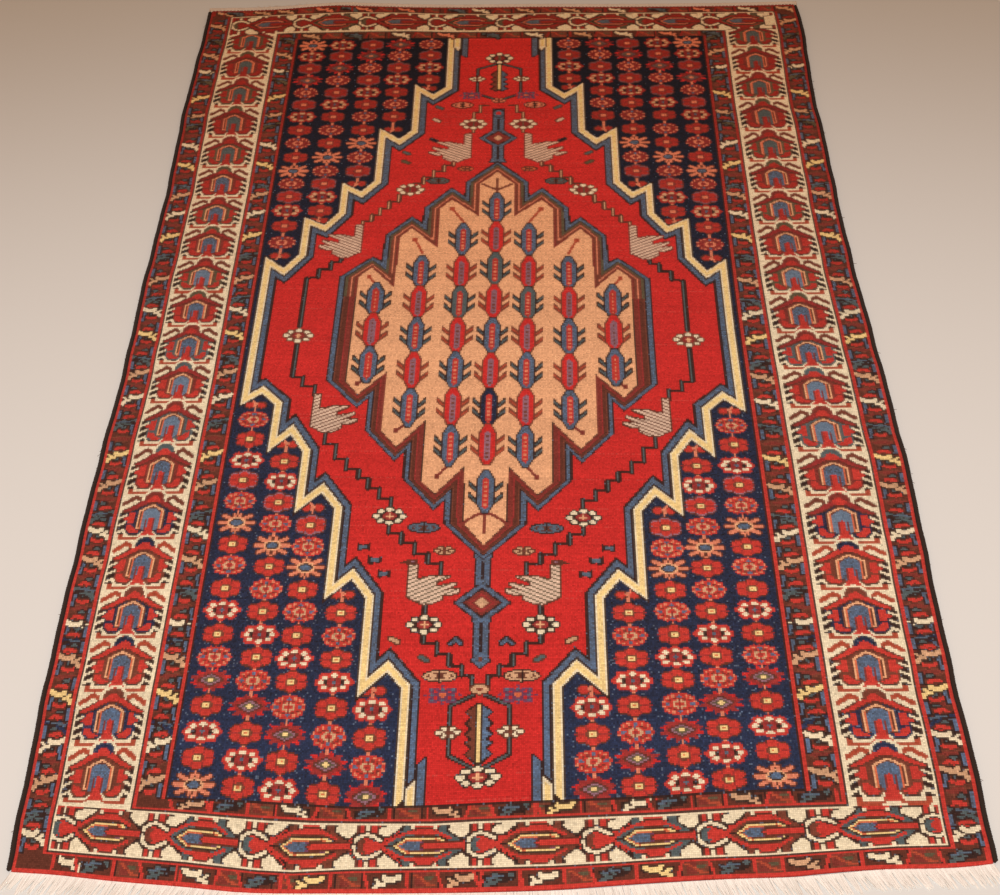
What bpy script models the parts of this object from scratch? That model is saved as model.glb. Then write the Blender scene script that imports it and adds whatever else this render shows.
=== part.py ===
"""A knotted wool rug lying flat on the floor.

The pieces are those of the real rug: the knotted slab of foundation and pile, a cord of overcast
wool down each long side, and a cotton end worked from the warps: a fringe of loose locks at the
near end, and a flat-woven band with a few loose warps at the far end.

Plan sizes are in millimetres from the middle of the photographed rug, +X to the right and +Y
towards the far end, and are turned into metres where a mesh is made. Afterwards everything is
moved so that the middle of its footprint stands on the origin.
"""

import math
import random

import bmesh
import bpy
import numpy as np

MM = 0.001

# Thicknesses, from the floor up
PILE_HEIGHT = 7.0
CORD_HEIGHT = 7.4
FRINGE_HEIGHT = 2.4
TIP_HEIGHT = 1.2
BAND_HEIGHT = 2.6

# Widths in plan
CORD_WIDTH = 8.0
GAP = 0.3
PILE_ROUNDING = 1.2
STATIONS_PER_SIDE = 81
STATIONS_PER_END = 45

# The four edges as they lie: each row is (place along the edge, where the edge is there)
LEFT_EDGE = (
    (-1010, -663), (-850, -667), (-700, -671), (-500, -671), (-300, -669), (-100, -663),
    (100, -664), (400, -660), (640, -664), (850, -660), (1010, -658),
)
RIGHT_EDGE = (
    (-1010, 660), (-880, 662), (-700, 660), (-500, 662), (-350, 665), (-200, 662), (0, 656),
    (100, 652), (300, 649), (500, 651), (700, 650), (850, 657), (940, 658), (1010, 654),
)
NEAR_EDGE = (
    (-672, -996), (-600, -1000), (-500, -1010), (-400, -1018), (-320, -1026), (-200, -1028),
    (0, -1027), (100, -1024), (200, -1017), (300, -1011), (400, -1008), (500, -999),
    (600, -997), (668, -991),
)
FAR_EDGE = (
    (-672, 998), (-500, 1001), (-420, 1010), (-360, 1014), (-300, 1010), (-200, 1003),
    (-100, 999), (0, 998), (100, 997), (200, 994), (400, 991), (600, 992), (668, 994),
)
# Ripple of the long edges: (height, wavelength, phase)
EDGE_RIPPLE = ((0.7, 173.0, 0.4), (0.5, 97.0, 1.9))

# Near end: the fringe of warp ends
LOCKS = 150
LOCK_SHARE = 0.62          # part of the pitch that a lock's root takes up
LOCK_TIP_SHARE = 0.4       # width of its tip, as a part of its root
LOCK_LENGTH = 33.0
LOCK_LENGTH_SPREAD = 5.0
LOCK_RINGS = (0.3, 0.65, 1.0)
FRINGE_BACKING = 5.0       # narrow strip that the locks are rooted in
LEAN_DEGREES = 31.0        # locks lean outwards, to each side of the middle
LEAN_REACH = 260.0         # distance from the middle over which the lean builds up
LEAN_SPREAD_DEGREES = 3.0
LOCK_BEND_DEGREES = 8.0

# Far end: the woven band and its few loose warps
BAND_WIDTH = 18.0
WARP_WIDTH = 3.0
WARP_RINGS = (0.5, 1.0)
# Loose warps: (place along the end, length, lean in degrees)
LOOSE_WARPS = (
    (-612, 6, -12), (-548, 9, 20), (-536, 13, -24), (-521, 11, 8), (-508, 7, -15), (-492, 14, 14),
    (-478, 12, -18), (-466, 15, 10), (-452, 12, 26), (-437, 8, -8), (-402, 5, 12), (-318, 5, -10),
    (-236, 6, 14), (-118, 4, -12), (4, 5, 10), (131, 4, -14), (262, 6, 12), (377, 4, -9),
    (489, 6, 15), (604, 5, -12),
)

# Colours of the pieces, as linear RGB
PILE_RED = (0.42, 0.035, 0.03)
CORD_BROWN = (0.05, 0.03, 0.02)
COTTON_CREAM = (0.74, 0.66, 0.50)

SEED = 11


def smooth_line(table, places):
    """Value at each place of a cubic through the table's rows, sloped there as its neighbours' chord."""
    at, value = np.array(table, dtype=float).T
    slope = np.gradient(value, at)
    row = np.clip(np.searchsorted(at, places) - 1, 0, len(at) - 2)
    span = at[row + 1] - at[row]
    t = (np.asarray(places, dtype=float) - at[row]) / span
    return (
        (1 + 2 * t) * (1 - t) ** 2 * value[row]
        + t * (1 - t) ** 2 * span * slope[row]
        + t**2 * (3 - 2 * t) * value[row + 1]
        - t**2 * (1 - t) * span * slope[row + 1]
    )


def side_line(table, places):
    """Outer edge of a long side: its table with the ripple of the overcasting on it."""
    line = smooth_line(table, places)
    for height, wavelength, phase in EDGE_RIPPLE:
        line = line + height * np.sin(2 * math.pi * np.asarray(places) / wavelength + phase)
    return line


def end_line(heading):
    """Even points along the pile's far (+1) or near (-1) end, from side to side over the cords."""
    table = FAR_EDGE if heading > 0 else NEAR_EDGE
    left = side_line(LEFT_EDGE, [heading * 1000.0])[0]
    right = side_line(RIGHT_EDGE, [heading * 1000.0])[0]
    places = np.linspace(left, right, STATIONS_PER_END)
    return places, smooth_line(table, places)


def end_at(heading, places):
    """Where the straight runs between the end line's points pass each place."""
    return np.interp(places, *end_line(heading))


def side_stations(table, inward):
    """Even places along a long edge, stopping where its cord meets the near and the far end."""
    across = np.array([0.0, CORD_WIDTH + GAP]) * inward
    near = end_at(-1, side_line(table, [-1000.0]) + across).max()
    far = end_at(1, side_line(table, [1000.0]) + across).min()
    return np.linspace(near, far, STATIONS_PER_SIDE)


def make_material(name, colour, roughness):
    """Plain matt material of one fibre."""
    material = bpy.data.materials.new(name)
    material.use_nodes = True
    shader = material.node_tree.nodes["Principled BSDF"]
    shader.inputs["Base Color"].default_value = (*colour, 1.0)
    shader.inputs["Roughness"].default_value = roughness
    shader.inputs["Metallic"].default_value = 0.0
    return material


def add_object(name, data, material, collection):
    """Object of the given data, in the rug's collection."""
    piece = bpy.data.objects.new(name, data)
    data.materials.append(material)
    collection.objects.link(piece)
    return piece


def rug_outline():
    """Outline of the knotted slab, run round from the near left corner, inside the side cords."""
    inset = CORD_WIDTH + GAP
    left_places = side_stations(LEFT_EDGE, 1)
    right_places = side_stations(RIGHT_EDGE, -1)
    left = np.column_stack([side_line(LEFT_EDGE, left_places) + inset, left_places])
    right = np.column_stack([side_line(RIGHT_EDGE, right_places) - inset, right_places])
    near = np.column_stack(end_line(-1))
    far = np.column_stack(end_line(1))
    near = near[(near[:, 0] > left[0, 0] + inset) & (near[:, 0] < right[0, 0] - inset)]
    far = far[(far[:, 0] > left[-1, 0] + inset) & (far[:, 0] < right[-1, 0] - inset)]
    return np.vstack([near, right, far[::-1], left[::-1]])


def build_rug(collection, material):
    """Knotted slab: its outline as a filled flat curve, with the pile's edge rounded."""
    outline = rug_outline() * MM
    curve = bpy.data.curves.new("rug", "CURVE")
    curve.dimensions = "2D"
    curve.fill_mode = "BOTH"
    curve.extrude = (PILE_HEIGHT / 2 - PILE_ROUNDING) * MM
    curve.bevel_depth = PILE_ROUNDING * MM
    curve.bevel_resolution = 1
    curve.offset = -PILE_ROUNDING * MM
    spline = curve.splines.new("POLY")
    spline.points.add(len(outline) - 1)
    for point, (x, y) in zip(spline.points, outline):
        point.co = (x, y, 0.0, 1.0)
    spline.use_cyclic_u = True
    rug = add_object("rug", curve, material, collection)
    rug.location.z = PILE_HEIGHT / 2 * MM
    return rug


def cord_section():
    """Section of a side cord: a round-topped oblong whose flat sole rests on the floor."""
    half = CORD_WIDTH / 2
    top = CORD_HEIGHT
    return [
        (-half * 0.6, 0.0), (half * 0.6, 0.0), (half, top * 0.3), (half, top * 0.65),
        (half * 0.5, top), (-half * 0.5, top), (-half, top * 0.65), (-half, top * 0.3),
    ]


def build_cord(name, table, inward, collection, material):
    """Overcast side cord: its section carried along the middle line of the edge.

    Args:
        name: the piece's name.
        table: the outer edge that the cord follows.
        inward: +1 where the rug lies to the right of the edge, -1 to the left.
    """
    places = side_stations(table, inward)
    middle = side_line(table, places) + inward * CORD_WIDTH / 2
    section = cord_section()
    mesh = bmesh.new()
    rings = [
        [mesh.verts.new(((x + across) * MM, y * MM, up * MM)) for across, up in section]
        for x, y in zip(middle, places)
    ]
    count = len(section)
    for first, second in zip(rings, rings[1:]):
        for k in range(count):
            after = (k + 1) % count
            mesh.faces.new((first[k], first[after], second[after], second[k]))
    mesh.faces.new(rings[0])
    mesh.faces.new(rings[-1])
    bmesh.ops.recalc_face_normals(mesh, faces=mesh.faces)
    data = bpy.data.meshes.new(name)
    mesh.to_mesh(data)
    mesh.free()
    return add_object(name, data, material, collection)


def add_lock(mesh, root, heading, lock):
    """Carry a root face outwards as a flat-soled lock that narrows to its tip.

    Args:
        mesh: the bmesh that holds the root face's corners.
        root: the root's corners: left sole, right sole, right top, left top, in metres.
        heading: +1 for a lock that leaves towards +Y, -1 towards -Y.
        lock: its length, tip width share, lean in degrees, rings and heights, as a dict.
    """
    centre = (root[0].co + root[1].co) / 2
    half_root = (root[1].co - root[0].co).length / 2
    ring = root
    reached = 0.0
    for share in lock["rings"]:
        angle = math.radians(lock["lean"] + LOCK_BEND_DEGREES * (share - 0.5) * math.copysign(1, lock["lean"]))
        along = np.array((math.sin(angle), heading * math.cos(angle)))
        side = np.array((math.cos(angle), -heading * math.sin(angle)))
        step = (share - reached) * lock["length"] * MM
        centre = centre.copy()
        centre.x += along[0] * step
        centre.y += along[1] * step
        half = half_root * (1 - (1 - lock["tip_share"]) * share)
        height = (lock["height"] + (TIP_HEIGHT - lock["height"]) * share) * MM
        left = (centre.x - side[0] * half, centre.y - side[1] * half)
        right = (centre.x + side[0] * half, centre.y + side[1] * half)
        after = [
            mesh.verts.new((*left, 0.0)), mesh.verts.new((*right, 0.0)),
            mesh.verts.new((*right, height)), mesh.verts.new((*left, height)),
        ]
        for k in range(4):
            following = (k + 1) % 4
            mesh.faces.new((ring[k], ring[following], after[following], after[k]))
        ring = after
        reached = share
    mesh.faces.new(ring)


def build_end(name, heading, band, locks, collection, material):
    """Cotton end: a narrow band along the pile's end with locks rooted in its outer edge.

    Args:
        name: the piece's name.
        heading: +1 for the far end, -1 for the near end.
        band: the band's width and height, in millimetres.
        locks: rows of (middle of the root, width of the root, the lock's dict), left to right.
    """
    width, height = band
    roots = [(middle - breadth / 2, middle + breadth / 2) for middle, breadth, _ in locks]
    plain = [place for place in end_line(heading)[0] if not any(a - GAP < place < b + GAP for a, b in roots)]
    places = np.array(sorted(plain + [place for root in roots for place in root]))
    rooted = {int(np.searchsorted(places, root[0])): lock for root, (_, _, lock) in zip(roots, locks)}
    inner = end_at(heading, places) + heading * GAP
    outer = inner + heading * width
    mesh = bmesh.new()
    rows = [
        [
            mesh.verts.new((x * MM, near * MM, 0.0)), mesh.verts.new((x * MM, away * MM, 0.0)),
            mesh.verts.new((x * MM, away * MM, height * MM)), mesh.verts.new((x * MM, near * MM, height * MM)),
        ]
        for x, near, away in zip(places, inner, outer)
    ]
    for k, (first, second) in enumerate(zip(rows, rows[1:])):
        mesh.faces.new((first[0], first[1], second[1], second[0]))
        mesh.faces.new((first[2], first[3], second[3], second[2]))
        mesh.faces.new((first[3], first[0], second[0], second[3]))
        if k in rooted:
            add_lock(mesh, [first[1], second[1], second[2], first[2]], heading, rooted[k])
        else:
            mesh.faces.new((first[1], first[2], second[2], second[1]))
    mesh.faces.new(rows[0])
    mesh.faces.new(rows[-1])
    bmesh.ops.recalc_face_normals(mesh, faces=mesh.faces)
    data = bpy.data.meshes.new(name)
    mesh.to_mesh(data)
    mesh.free()
    return add_object(name, data, material, collection)


def fringe_locks(chance):
    """Locks of the near fringe: even roots, leaning outwards from the middle."""
    left = side_line(LEFT_EDGE, [-1000.0])[0]
    right = side_line(RIGHT_EDGE, [-1000.0])[0]
    pitch = (right - left) / LOCKS
    rows = []
    for k in range(LOCKS):
        middle = left + (k + 0.5) * pitch
        lean = LEAN_DEGREES * math.tanh(middle / LEAN_REACH)
        lock = {
            "length": LOCK_LENGTH + chance.uniform(-1, 1) * LOCK_LENGTH_SPREAD,
            "tip_share": LOCK_TIP_SHARE,
            "lean": lean + chance.uniform(-1, 1) * LEAN_SPREAD_DEGREES,
            "rings": LOCK_RINGS,
            "height": FRINGE_HEIGHT,
        }
        rows.append((middle, pitch * LOCK_SHARE, lock))
    return rows


def loose_warps():
    """The few warps that stand out of the far band."""
    return [
        (
            place,
            WARP_WIDTH,
            {
                "length": length,
                "tip_share": LOCK_TIP_SHARE,
                "lean": lean,
                "rings": WARP_RINGS,
                "height": BAND_HEIGHT,
            },
        )
        for place, length, lean in LOOSE_WARPS
    ]


def centre_on_origin(pieces):
    """Move the pieces together so that the middle of their footprint is over the origin."""
    bpy.context.view_layer.update()
    corners = np.array([piece.matrix_world @ corner for piece in pieces for corner in world_points(piece)])
    middle = (corners.min(axis=0) + corners.max(axis=0)) / 2
    for piece in pieces:
        piece.location.x -= middle[0]
        piece.location.y -= middle[1]


def world_points(piece):
    """Points of a piece's finished mesh, in its own frame."""
    finished = piece.evaluated_get(bpy.context.evaluated_depsgraph_get())
    mesh = finished.to_mesh()
    points = [vertex.co.copy() for vertex in mesh.vertices]
    finished.to_mesh_clear()
    return points


def main():
    """Clear the scene and build the rug."""
    for old in list(bpy.data.objects):
        bpy.data.objects.remove(old)
    collection = bpy.data.collections.new("rug_parts")
    bpy.context.scene.collection.children.link(collection)
    pile = make_material("pile", PILE_RED, 0.9)
    binding = make_material("binding", CORD_BROWN, 0.9)
    cotton = make_material("cotton", COTTON_CREAM, 0.85)
    chance = random.Random(SEED)
    pieces = [
        build_rug(collection, pile),
        build_cord("selvedge_left", LEFT_EDGE, 1, collection, binding),
        build_cord("selvedge_right", RIGHT_EDGE, -1, collection, binding),
        build_end(
            "end_near", -1, (FRINGE_BACKING, FRINGE_HEIGHT), fringe_locks(chance), collection, cotton
        ),
        build_end("end_far", 1, (BAND_WIDTH, BAND_HEIGHT), loose_warps(), collection, cotton),
    ]
    centre_on_origin(pieces)


main()
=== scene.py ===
"""A hand-knotted wool rug lying flat on the floor.

The pile is worked knot by knot: a chart gives each knot its wool, drawn with the figures of the
design, and the chart is laid on the floor along the rug's uneven edges. Sizes are in millimetres in
plan, +X to the right and +Y to the far end, and are turned into metres where a mesh is made.
"""

import logging
import math
from dataclasses import dataclass, field
from enum import Enum, IntEnum
from typing import Iterator

import bpy
import numpy as np
from bpy.types import Material, Node, NodeSocket, Object
from mathutils import Matrix, Vector


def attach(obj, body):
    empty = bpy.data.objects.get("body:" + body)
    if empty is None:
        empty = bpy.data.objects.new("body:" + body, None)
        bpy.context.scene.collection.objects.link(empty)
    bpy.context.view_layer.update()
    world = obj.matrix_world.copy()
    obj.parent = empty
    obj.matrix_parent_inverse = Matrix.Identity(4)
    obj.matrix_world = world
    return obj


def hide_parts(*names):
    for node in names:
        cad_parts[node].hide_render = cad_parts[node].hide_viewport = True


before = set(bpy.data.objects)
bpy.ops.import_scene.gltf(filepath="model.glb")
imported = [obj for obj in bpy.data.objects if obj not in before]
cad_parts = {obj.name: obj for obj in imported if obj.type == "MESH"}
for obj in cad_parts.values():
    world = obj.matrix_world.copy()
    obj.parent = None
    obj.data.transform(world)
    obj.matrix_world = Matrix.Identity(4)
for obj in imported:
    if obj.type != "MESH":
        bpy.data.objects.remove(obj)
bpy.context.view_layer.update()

MM = 0.001
# Too small to matter in a sum of millimetres
TINY = 1e-6
# Width and length of a knot on the chart, and the pile's height and extent
KNOT = 2.6
PILE_HEIGHT = 7.0
HALF_WIDTH = 652.0
NEAR_END = -1010.0
FAR_END = 1000.0
# The point of the plan that stands on the frame's origin
PLAN_MIDDLE = (0.0272, -16.1966)

log = logging.getLogger("rug")

Array = np.ndarray
Pair = tuple[float, float]
Triple = tuple[float, float, float]
Points = list[Pair]
Path = Points | Array


class Dye(IntEnum):
    """The wools of the pile, each with its colour as sRGB from 0 to 255."""

    def __new__(cls, number: int, colour: tuple[int, int, int]) -> "Dye":
        """Number a wool and keep its colour with it."""
        dye = int.__new__(cls, number)
        dye._value_ = number
        dye.colour = colour
        return dye

    RED = 0, (211, 50, 48)
    BRIGHT = 1, (206, 65, 57)
    RUST = 2, (180, 80, 58)
    MAROON = 3, (134, 58, 51)
    BROWN = 4, (124, 68, 54)
    DARK = 5, (102, 56, 45)
    INK = 6, (58, 39, 36)
    NAVY = 7, (41, 48, 72)
    BLUE = 8, (91, 108, 134)
    SKY = 9, (112, 134, 160)
    SLATE = 10, (88, 102, 106)
    CREAM = 11, (248, 235, 204)
    GOLD = 12, (254, 224, 156)
    TAN = 13, (218, 174, 138)
    CAMEL = 14, (244, 184, 141)
    CORAL = 15, (232, 142, 112)
    ORANGE = 16, (220, 112, 76)
    PURPLE = 17, (118, 68, 98)
    ROSE = 18, (234, 204, 182)
    OLIVE = 19, (98, 90, 70)
    LILAC = 20, (156, 116, 134)
    WINE = 21, (160, 56, 55)
    STEEL = 22, (92, 110, 130)


(
    RED, BRIGHT, RUST, MAROON, BROWN, DARK, INK, NAVY, BLUE, SKY, SLATE, CREAM, GOLD, TAN, CAMEL, CORAL,
    ORANGE, PURPLE, ROSE, OLIVE, LILAC, WINE, STEEL,
) = Dye


def linear(colour: Triple) -> Array:
    """Linear light of an sRGB colour given from 0 to 255, by the standard curve."""
    share = np.asarray(colour, float) / 255
    return np.where(share <= 0.04045, share / 12.92, ((share + 0.055) / 1.055) ** 2.4)


def mirrored(path: Points) -> Points:
    """Right half of a figure with its left half added, run back the other way."""
    return path + [(-x, y) for x, y in reversed(path)]


def beside(path: Points, distance: float) -> Array:
    """Open path moved to the left of its heading, with sharp mitred corners.

    Each point moves by the distance times (n1 + n2) / (1 + n1.n2), where n1 and n2 are the left-hand
    normals of the runs that meet there.

    Args:
        path: the points.
        distance: how far they move.

    Returns:
        The moved points, one row each.
    """
    points = np.asarray(path, float)
    run = np.diff(points, axis=0)
    run /= np.linalg.norm(run, axis=1, keepdims=True)
    normal = np.column_stack([-run[:, 1], run[:, 0]])
    before = np.vstack([normal[:1], normal])
    after = np.vstack([normal, normal[-1:]])
    return points + distance * (before + after) / (1 + (before * after).sum(axis=1))[:, None]


def between(first: Points, second: Points, share: float) -> Array:
    """Outline part of the way from one outline to another with as many points."""
    first_points = np.asarray(first, float)
    return first_points + (np.asarray(second, float) - first_points) * share


@dataclass
class KnotChart:
    """Squared chart of the whole rug, one wool for each knot."""

    across: Array = field(init=False)
    along: Array = field(init=False)
    dyes: Array = field(init=False)

    def __post_init__(self) -> None:
        """Set out the knots in even columns and rows, all in the red of the field."""
        columns = round(2 * HALF_WIDTH / KNOT)
        rows = round((FAR_END - NEAR_END) / KNOT)
        self.across = (-HALF_WIDTH + (np.arange(columns) + 0.5) * 2 * HALF_WIDTH / columns).astype("f4")
        self.along = (NEAR_END + (np.arange(rows) + 0.5) * (FAR_END - NEAR_END) / rows).astype("f4")
        self.dyes = np.full((rows, columns), RED, np.int8)

    def window(self, low: Array, high: Array) -> tuple[slice, slice]:
        """Rows and columns of the knots inside a box."""
        first_row, last_row = np.searchsorted(self.along, (low[1], high[1]))
        first_column, last_column = np.searchsorted(self.across, (low[0], high[0]))
        return slice(first_row, last_row), slice(first_column, last_column)

    def knots(self, rows: slice, columns: slice) -> tuple[Array, Array]:
        """Places across and along of some rows and columns, set out for runs by rows by columns."""
        return self.across[columns][None, None, :], self.along[rows][None, :, None]

    def fill(self, dye: Dye, outline: Array) -> None:
        """Work every knot inside an outline in one wool.

        A knot is inside where a line from it to the right crosses the outline an odd number of times.

        Args:
            dye: the wool.
            outline: the corners, one row each.
        """
        corners = np.asarray(outline, np.float32)
        rows, columns = self.window(corners.min(axis=0), corners.max(axis=0))
        x, y = self.knots(rows, columns)
        start = corners[:, None, None, :]
        end = np.roll(corners, -1, axis=0)[:, None, None, :]
        rise = end[..., 1] - start[..., 1]
        rise = np.where(rise == 0, TINY, rise)
        crossing = start[..., 0] + (y - start[..., 1]) * (end[..., 0] - start[..., 0]) / rise
        passed = ((start[..., 1] > y) != (end[..., 1] > y)) & (x < crossing)
        self.dyes[rows, columns][passed.sum(axis=0) % 2 == 1] = dye

    def stroke(self, dye: Dye, path: Array, width: float) -> None:
        """Work every knot near a path in one wool.

        A knot's distance is the least of its distances to the path's runs.

        Args:
            dye: the wool.
            path: the points, one row each.
            width: breadth of the stroke.
        """
        points = np.asarray(path, np.float32)
        rows, columns = self.window(points.min(axis=0) - width, points.max(axis=0) + width)
        x, y = self.knots(rows, columns)
        start = points[:-1, None, None, :]
        run = points[1:, None, None, :] - start
        size = (run**2).sum(axis=-1) + TINY
        share = ((x - start[..., 0]) * run[..., 0] + (y - start[..., 1]) * run[..., 1]) / size
        share = np.clip(share, 0, 1)
        off_x = x - start[..., 0] - share * run[..., 0]
        off_y = y - start[..., 1] - share * run[..., 1]
        near = (off_x**2 + off_y**2).min(axis=0) < (width / 2) ** 2
        self.dyes[rows, columns][near] = dye


# Breadth of the line round a figure
OUTLINE = 2.6
# Corners of a drawn ellipse
OVAL_CORNERS = 16


@dataclass(frozen=True)
class Pen:
    """Draws figures in their own coordinates at a place on the chart."""

    chart: KnotChart
    x: float = 0.0
    y: float = 0.0
    size: Pair = (1.0, 1.0)

    def on_rug(self, points: Path) -> Array:
        """Points of the figure in the rug's plan."""
        return np.asarray(points, float) * self.size + (self.x, self.y)

    def at(self, x: float, y: float, size: Pair = (1.0, 1.0)) -> "Pen":
        """Pen for a smaller figure, placed and sized within this one's."""
        place = self.on_rug([(x, y)])[0]
        return Pen(self.chart, place[0], place[1], (self.size[0] * size[0], self.size[1] * size[1]))

    def sides(self) -> Iterator["Pen"]:
        """This pen and its mirror image across the rug's middle."""
        yield self
        yield Pen(self.chart, -self.x, self.y, (-self.size[0], self.size[1]))

    def halves(self, upright: bool = True) -> Iterator["Pen"]:
        """Pens for the two halves of a figure that is alike left and right, or above and below."""
        for turn in (1, -1):
            yield self.at(0, 0, (turn, 1) if upright else (1, turn))

    def quarters(self) -> Iterator["Pen"]:
        """Pens for the four quarters of a figure that is alike in each."""
        for half in self.halves():
            yield from half.halves(False)

    def area(self, dye: Dye, points: Path, edge: Dye | None = None) -> None:
        """Fill an outline, with a line of another wool round it where one is given."""
        outline = self.on_rug(points)
        if edge is not None:
            self.chart.stroke(edge, np.vstack([outline, outline[:1]]), 2 * OUTLINE)
        self.chart.fill(dye, outline)

    def line(self, dye: Dye, width: float, points: Path, edge: Dye | None = None) -> None:
        """Draw a line of even breadth, with a wider one of another wool under it where one is given."""
        path = self.on_rug(points)
        if edge is not None:
            self.chart.stroke(edge, path, width + 2 * OUTLINE)
        self.chart.stroke(dye, path, width)

    def oval(self, dye: Dye, centre: Pair, radii: Pair, edge: Dye | None = None) -> None:
        """Fill an ellipse, set out as corners on it."""
        turn = np.arange(OVAL_CORNERS) * math.tau / OVAL_CORNERS
        corners = np.column_stack([np.cos(turn) * radii[0], np.sin(turn) * radii[1]]) + centre
        self.area(dye, corners, edge)

    def ovals(self, dye: Dye, places: Points, radii: Pair, edge: Dye | None = None) -> None:
        """Fill an ellipse at each place of the figure's upper right quarter, and at its mirror images."""
        for x, y in places:
            for turn_x in (1, -1) if x else (1,):
                for turn_y in (1, -1) if y else (1,):
                    self.oval(dye, (x * turn_x, y * turn_y), radii, edge)

    def box(self, dye: Dye, low: Pair, high: Pair, edge: Dye | None = None) -> None:
        """Fill an upright oblong between two corners."""
        self.area(dye, [low, (high[0], low[1]), high, (low[0], high[1])], edge)

    def striped(self, dyes: tuple[Dye, Dye], points: Points, edge: Dye) -> None:
        """Fill an outline with slanting stripes, two rows of knots of one wool and one of another.

        A knot takes the second wool where its row's number, with one more for every second column
        towards +x of the figure, divides by three.

        Args:
            dyes: the two wools.
            points: the outline.
            edge: wool of the line round it.
        """
        self.area(dyes[0], points, edge)
        outline = self.on_rug(points)
        rows, columns = self.chart.window(outline.min(axis=0), outline.max(axis=0))
        out = (self.chart.across[columns] - self.x) * math.copysign(1, self.size[0])
        row = np.rint((self.chart.along[rows] - self.y) / KNOT)
        count = row[:, None] + np.floor(out / (2 * KNOT))[None, :]
        part = self.chart.dyes[rows, columns]
        part[(part == dyes[0]) & (np.mod(count, 3) == 0)] = dyes[1]


@dataclass
class Lightning:
    """The cream and gold zigzag band between the red field and the navy corners."""

    # Middle line of the right-hand band, from the far end to the near end
    line: tuple = (
        (106, 892), (106, 704), (136.5, 674), (170, 703), (170, 560), (199, 526), (235, 556), (235, 402),
        (264, 363), (298.5, 387), (298.5, 308), (327, 265), (362, 285), (362, 190), (393, 144),
        (426, 172), (426, -175), (396.5, -151.5), (365.5, -181), (365.5, -272), (335, -239),
        (304.5, -285), (304.5, -395), (270, -360), (239.5, -401), (239.5, -557), (206, -525), (176, -566),
        (176, -724), (139, -687), (110, -722), (110, -904),
    )
    # Stripes from the field's side to the corner's: (wool, from, to), across the middle line
    stripes: tuple = (
        (INK, -22.4, -18.4), (BLUE, -18.4, -10.2), (INK, -10.2, -6.8), (CREAM, -6.8, -4.3),
        (GOLD, -4.3, 3.8), (CREAM, 3.8, 6.2), (INK, 6.2, 8.8),
    )

    def corner(self, pen: Pen) -> None:
        """Fill the ground between the band and the border in navy."""
        pen.area(NAVY, [*self.line, (445, -904), (445, 892)])

    def band(self, pen: Pen) -> None:
        """Work the band's stripes, each between two mitred lines beside the middle one."""
        for dye, first, last in self.stripes:
            strip = np.vstack([beside(self.line, first), beside(self.line, last)[::-1]])
            pen.area(dye, strip)

    def ends(self, pen: Pen) -> None:
        """Work the short doubled steps where the band meets the borders."""
        for dye, edge, points in (
            (BLUE, INK, [(71, 892), (71, 812), (81, 820), (81, 892)]),
            (CREAM, INK, [(85, 892), (85, 846), (90, 836), (98, 848), (98, 892)]),
            (GOLD, None, [(88, 892), (88, 850), (95, 850), (95, 892)]),
            (BLUE, INK, [(76, -904), (76, -828), (86, -838), (86, -904)]),
            (CREAM, INK, [(89, -904), (89, -858), (101, -870), (101, -904)]),
            (GOLD, None, [(91.5, -904), (91.5, -866), (98, -872), (98, -904)]),
            (INK, None, [(101, -879), (101, -893), (112, -893)]),
        ):
            pen.area(dye, points, edge)


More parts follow.
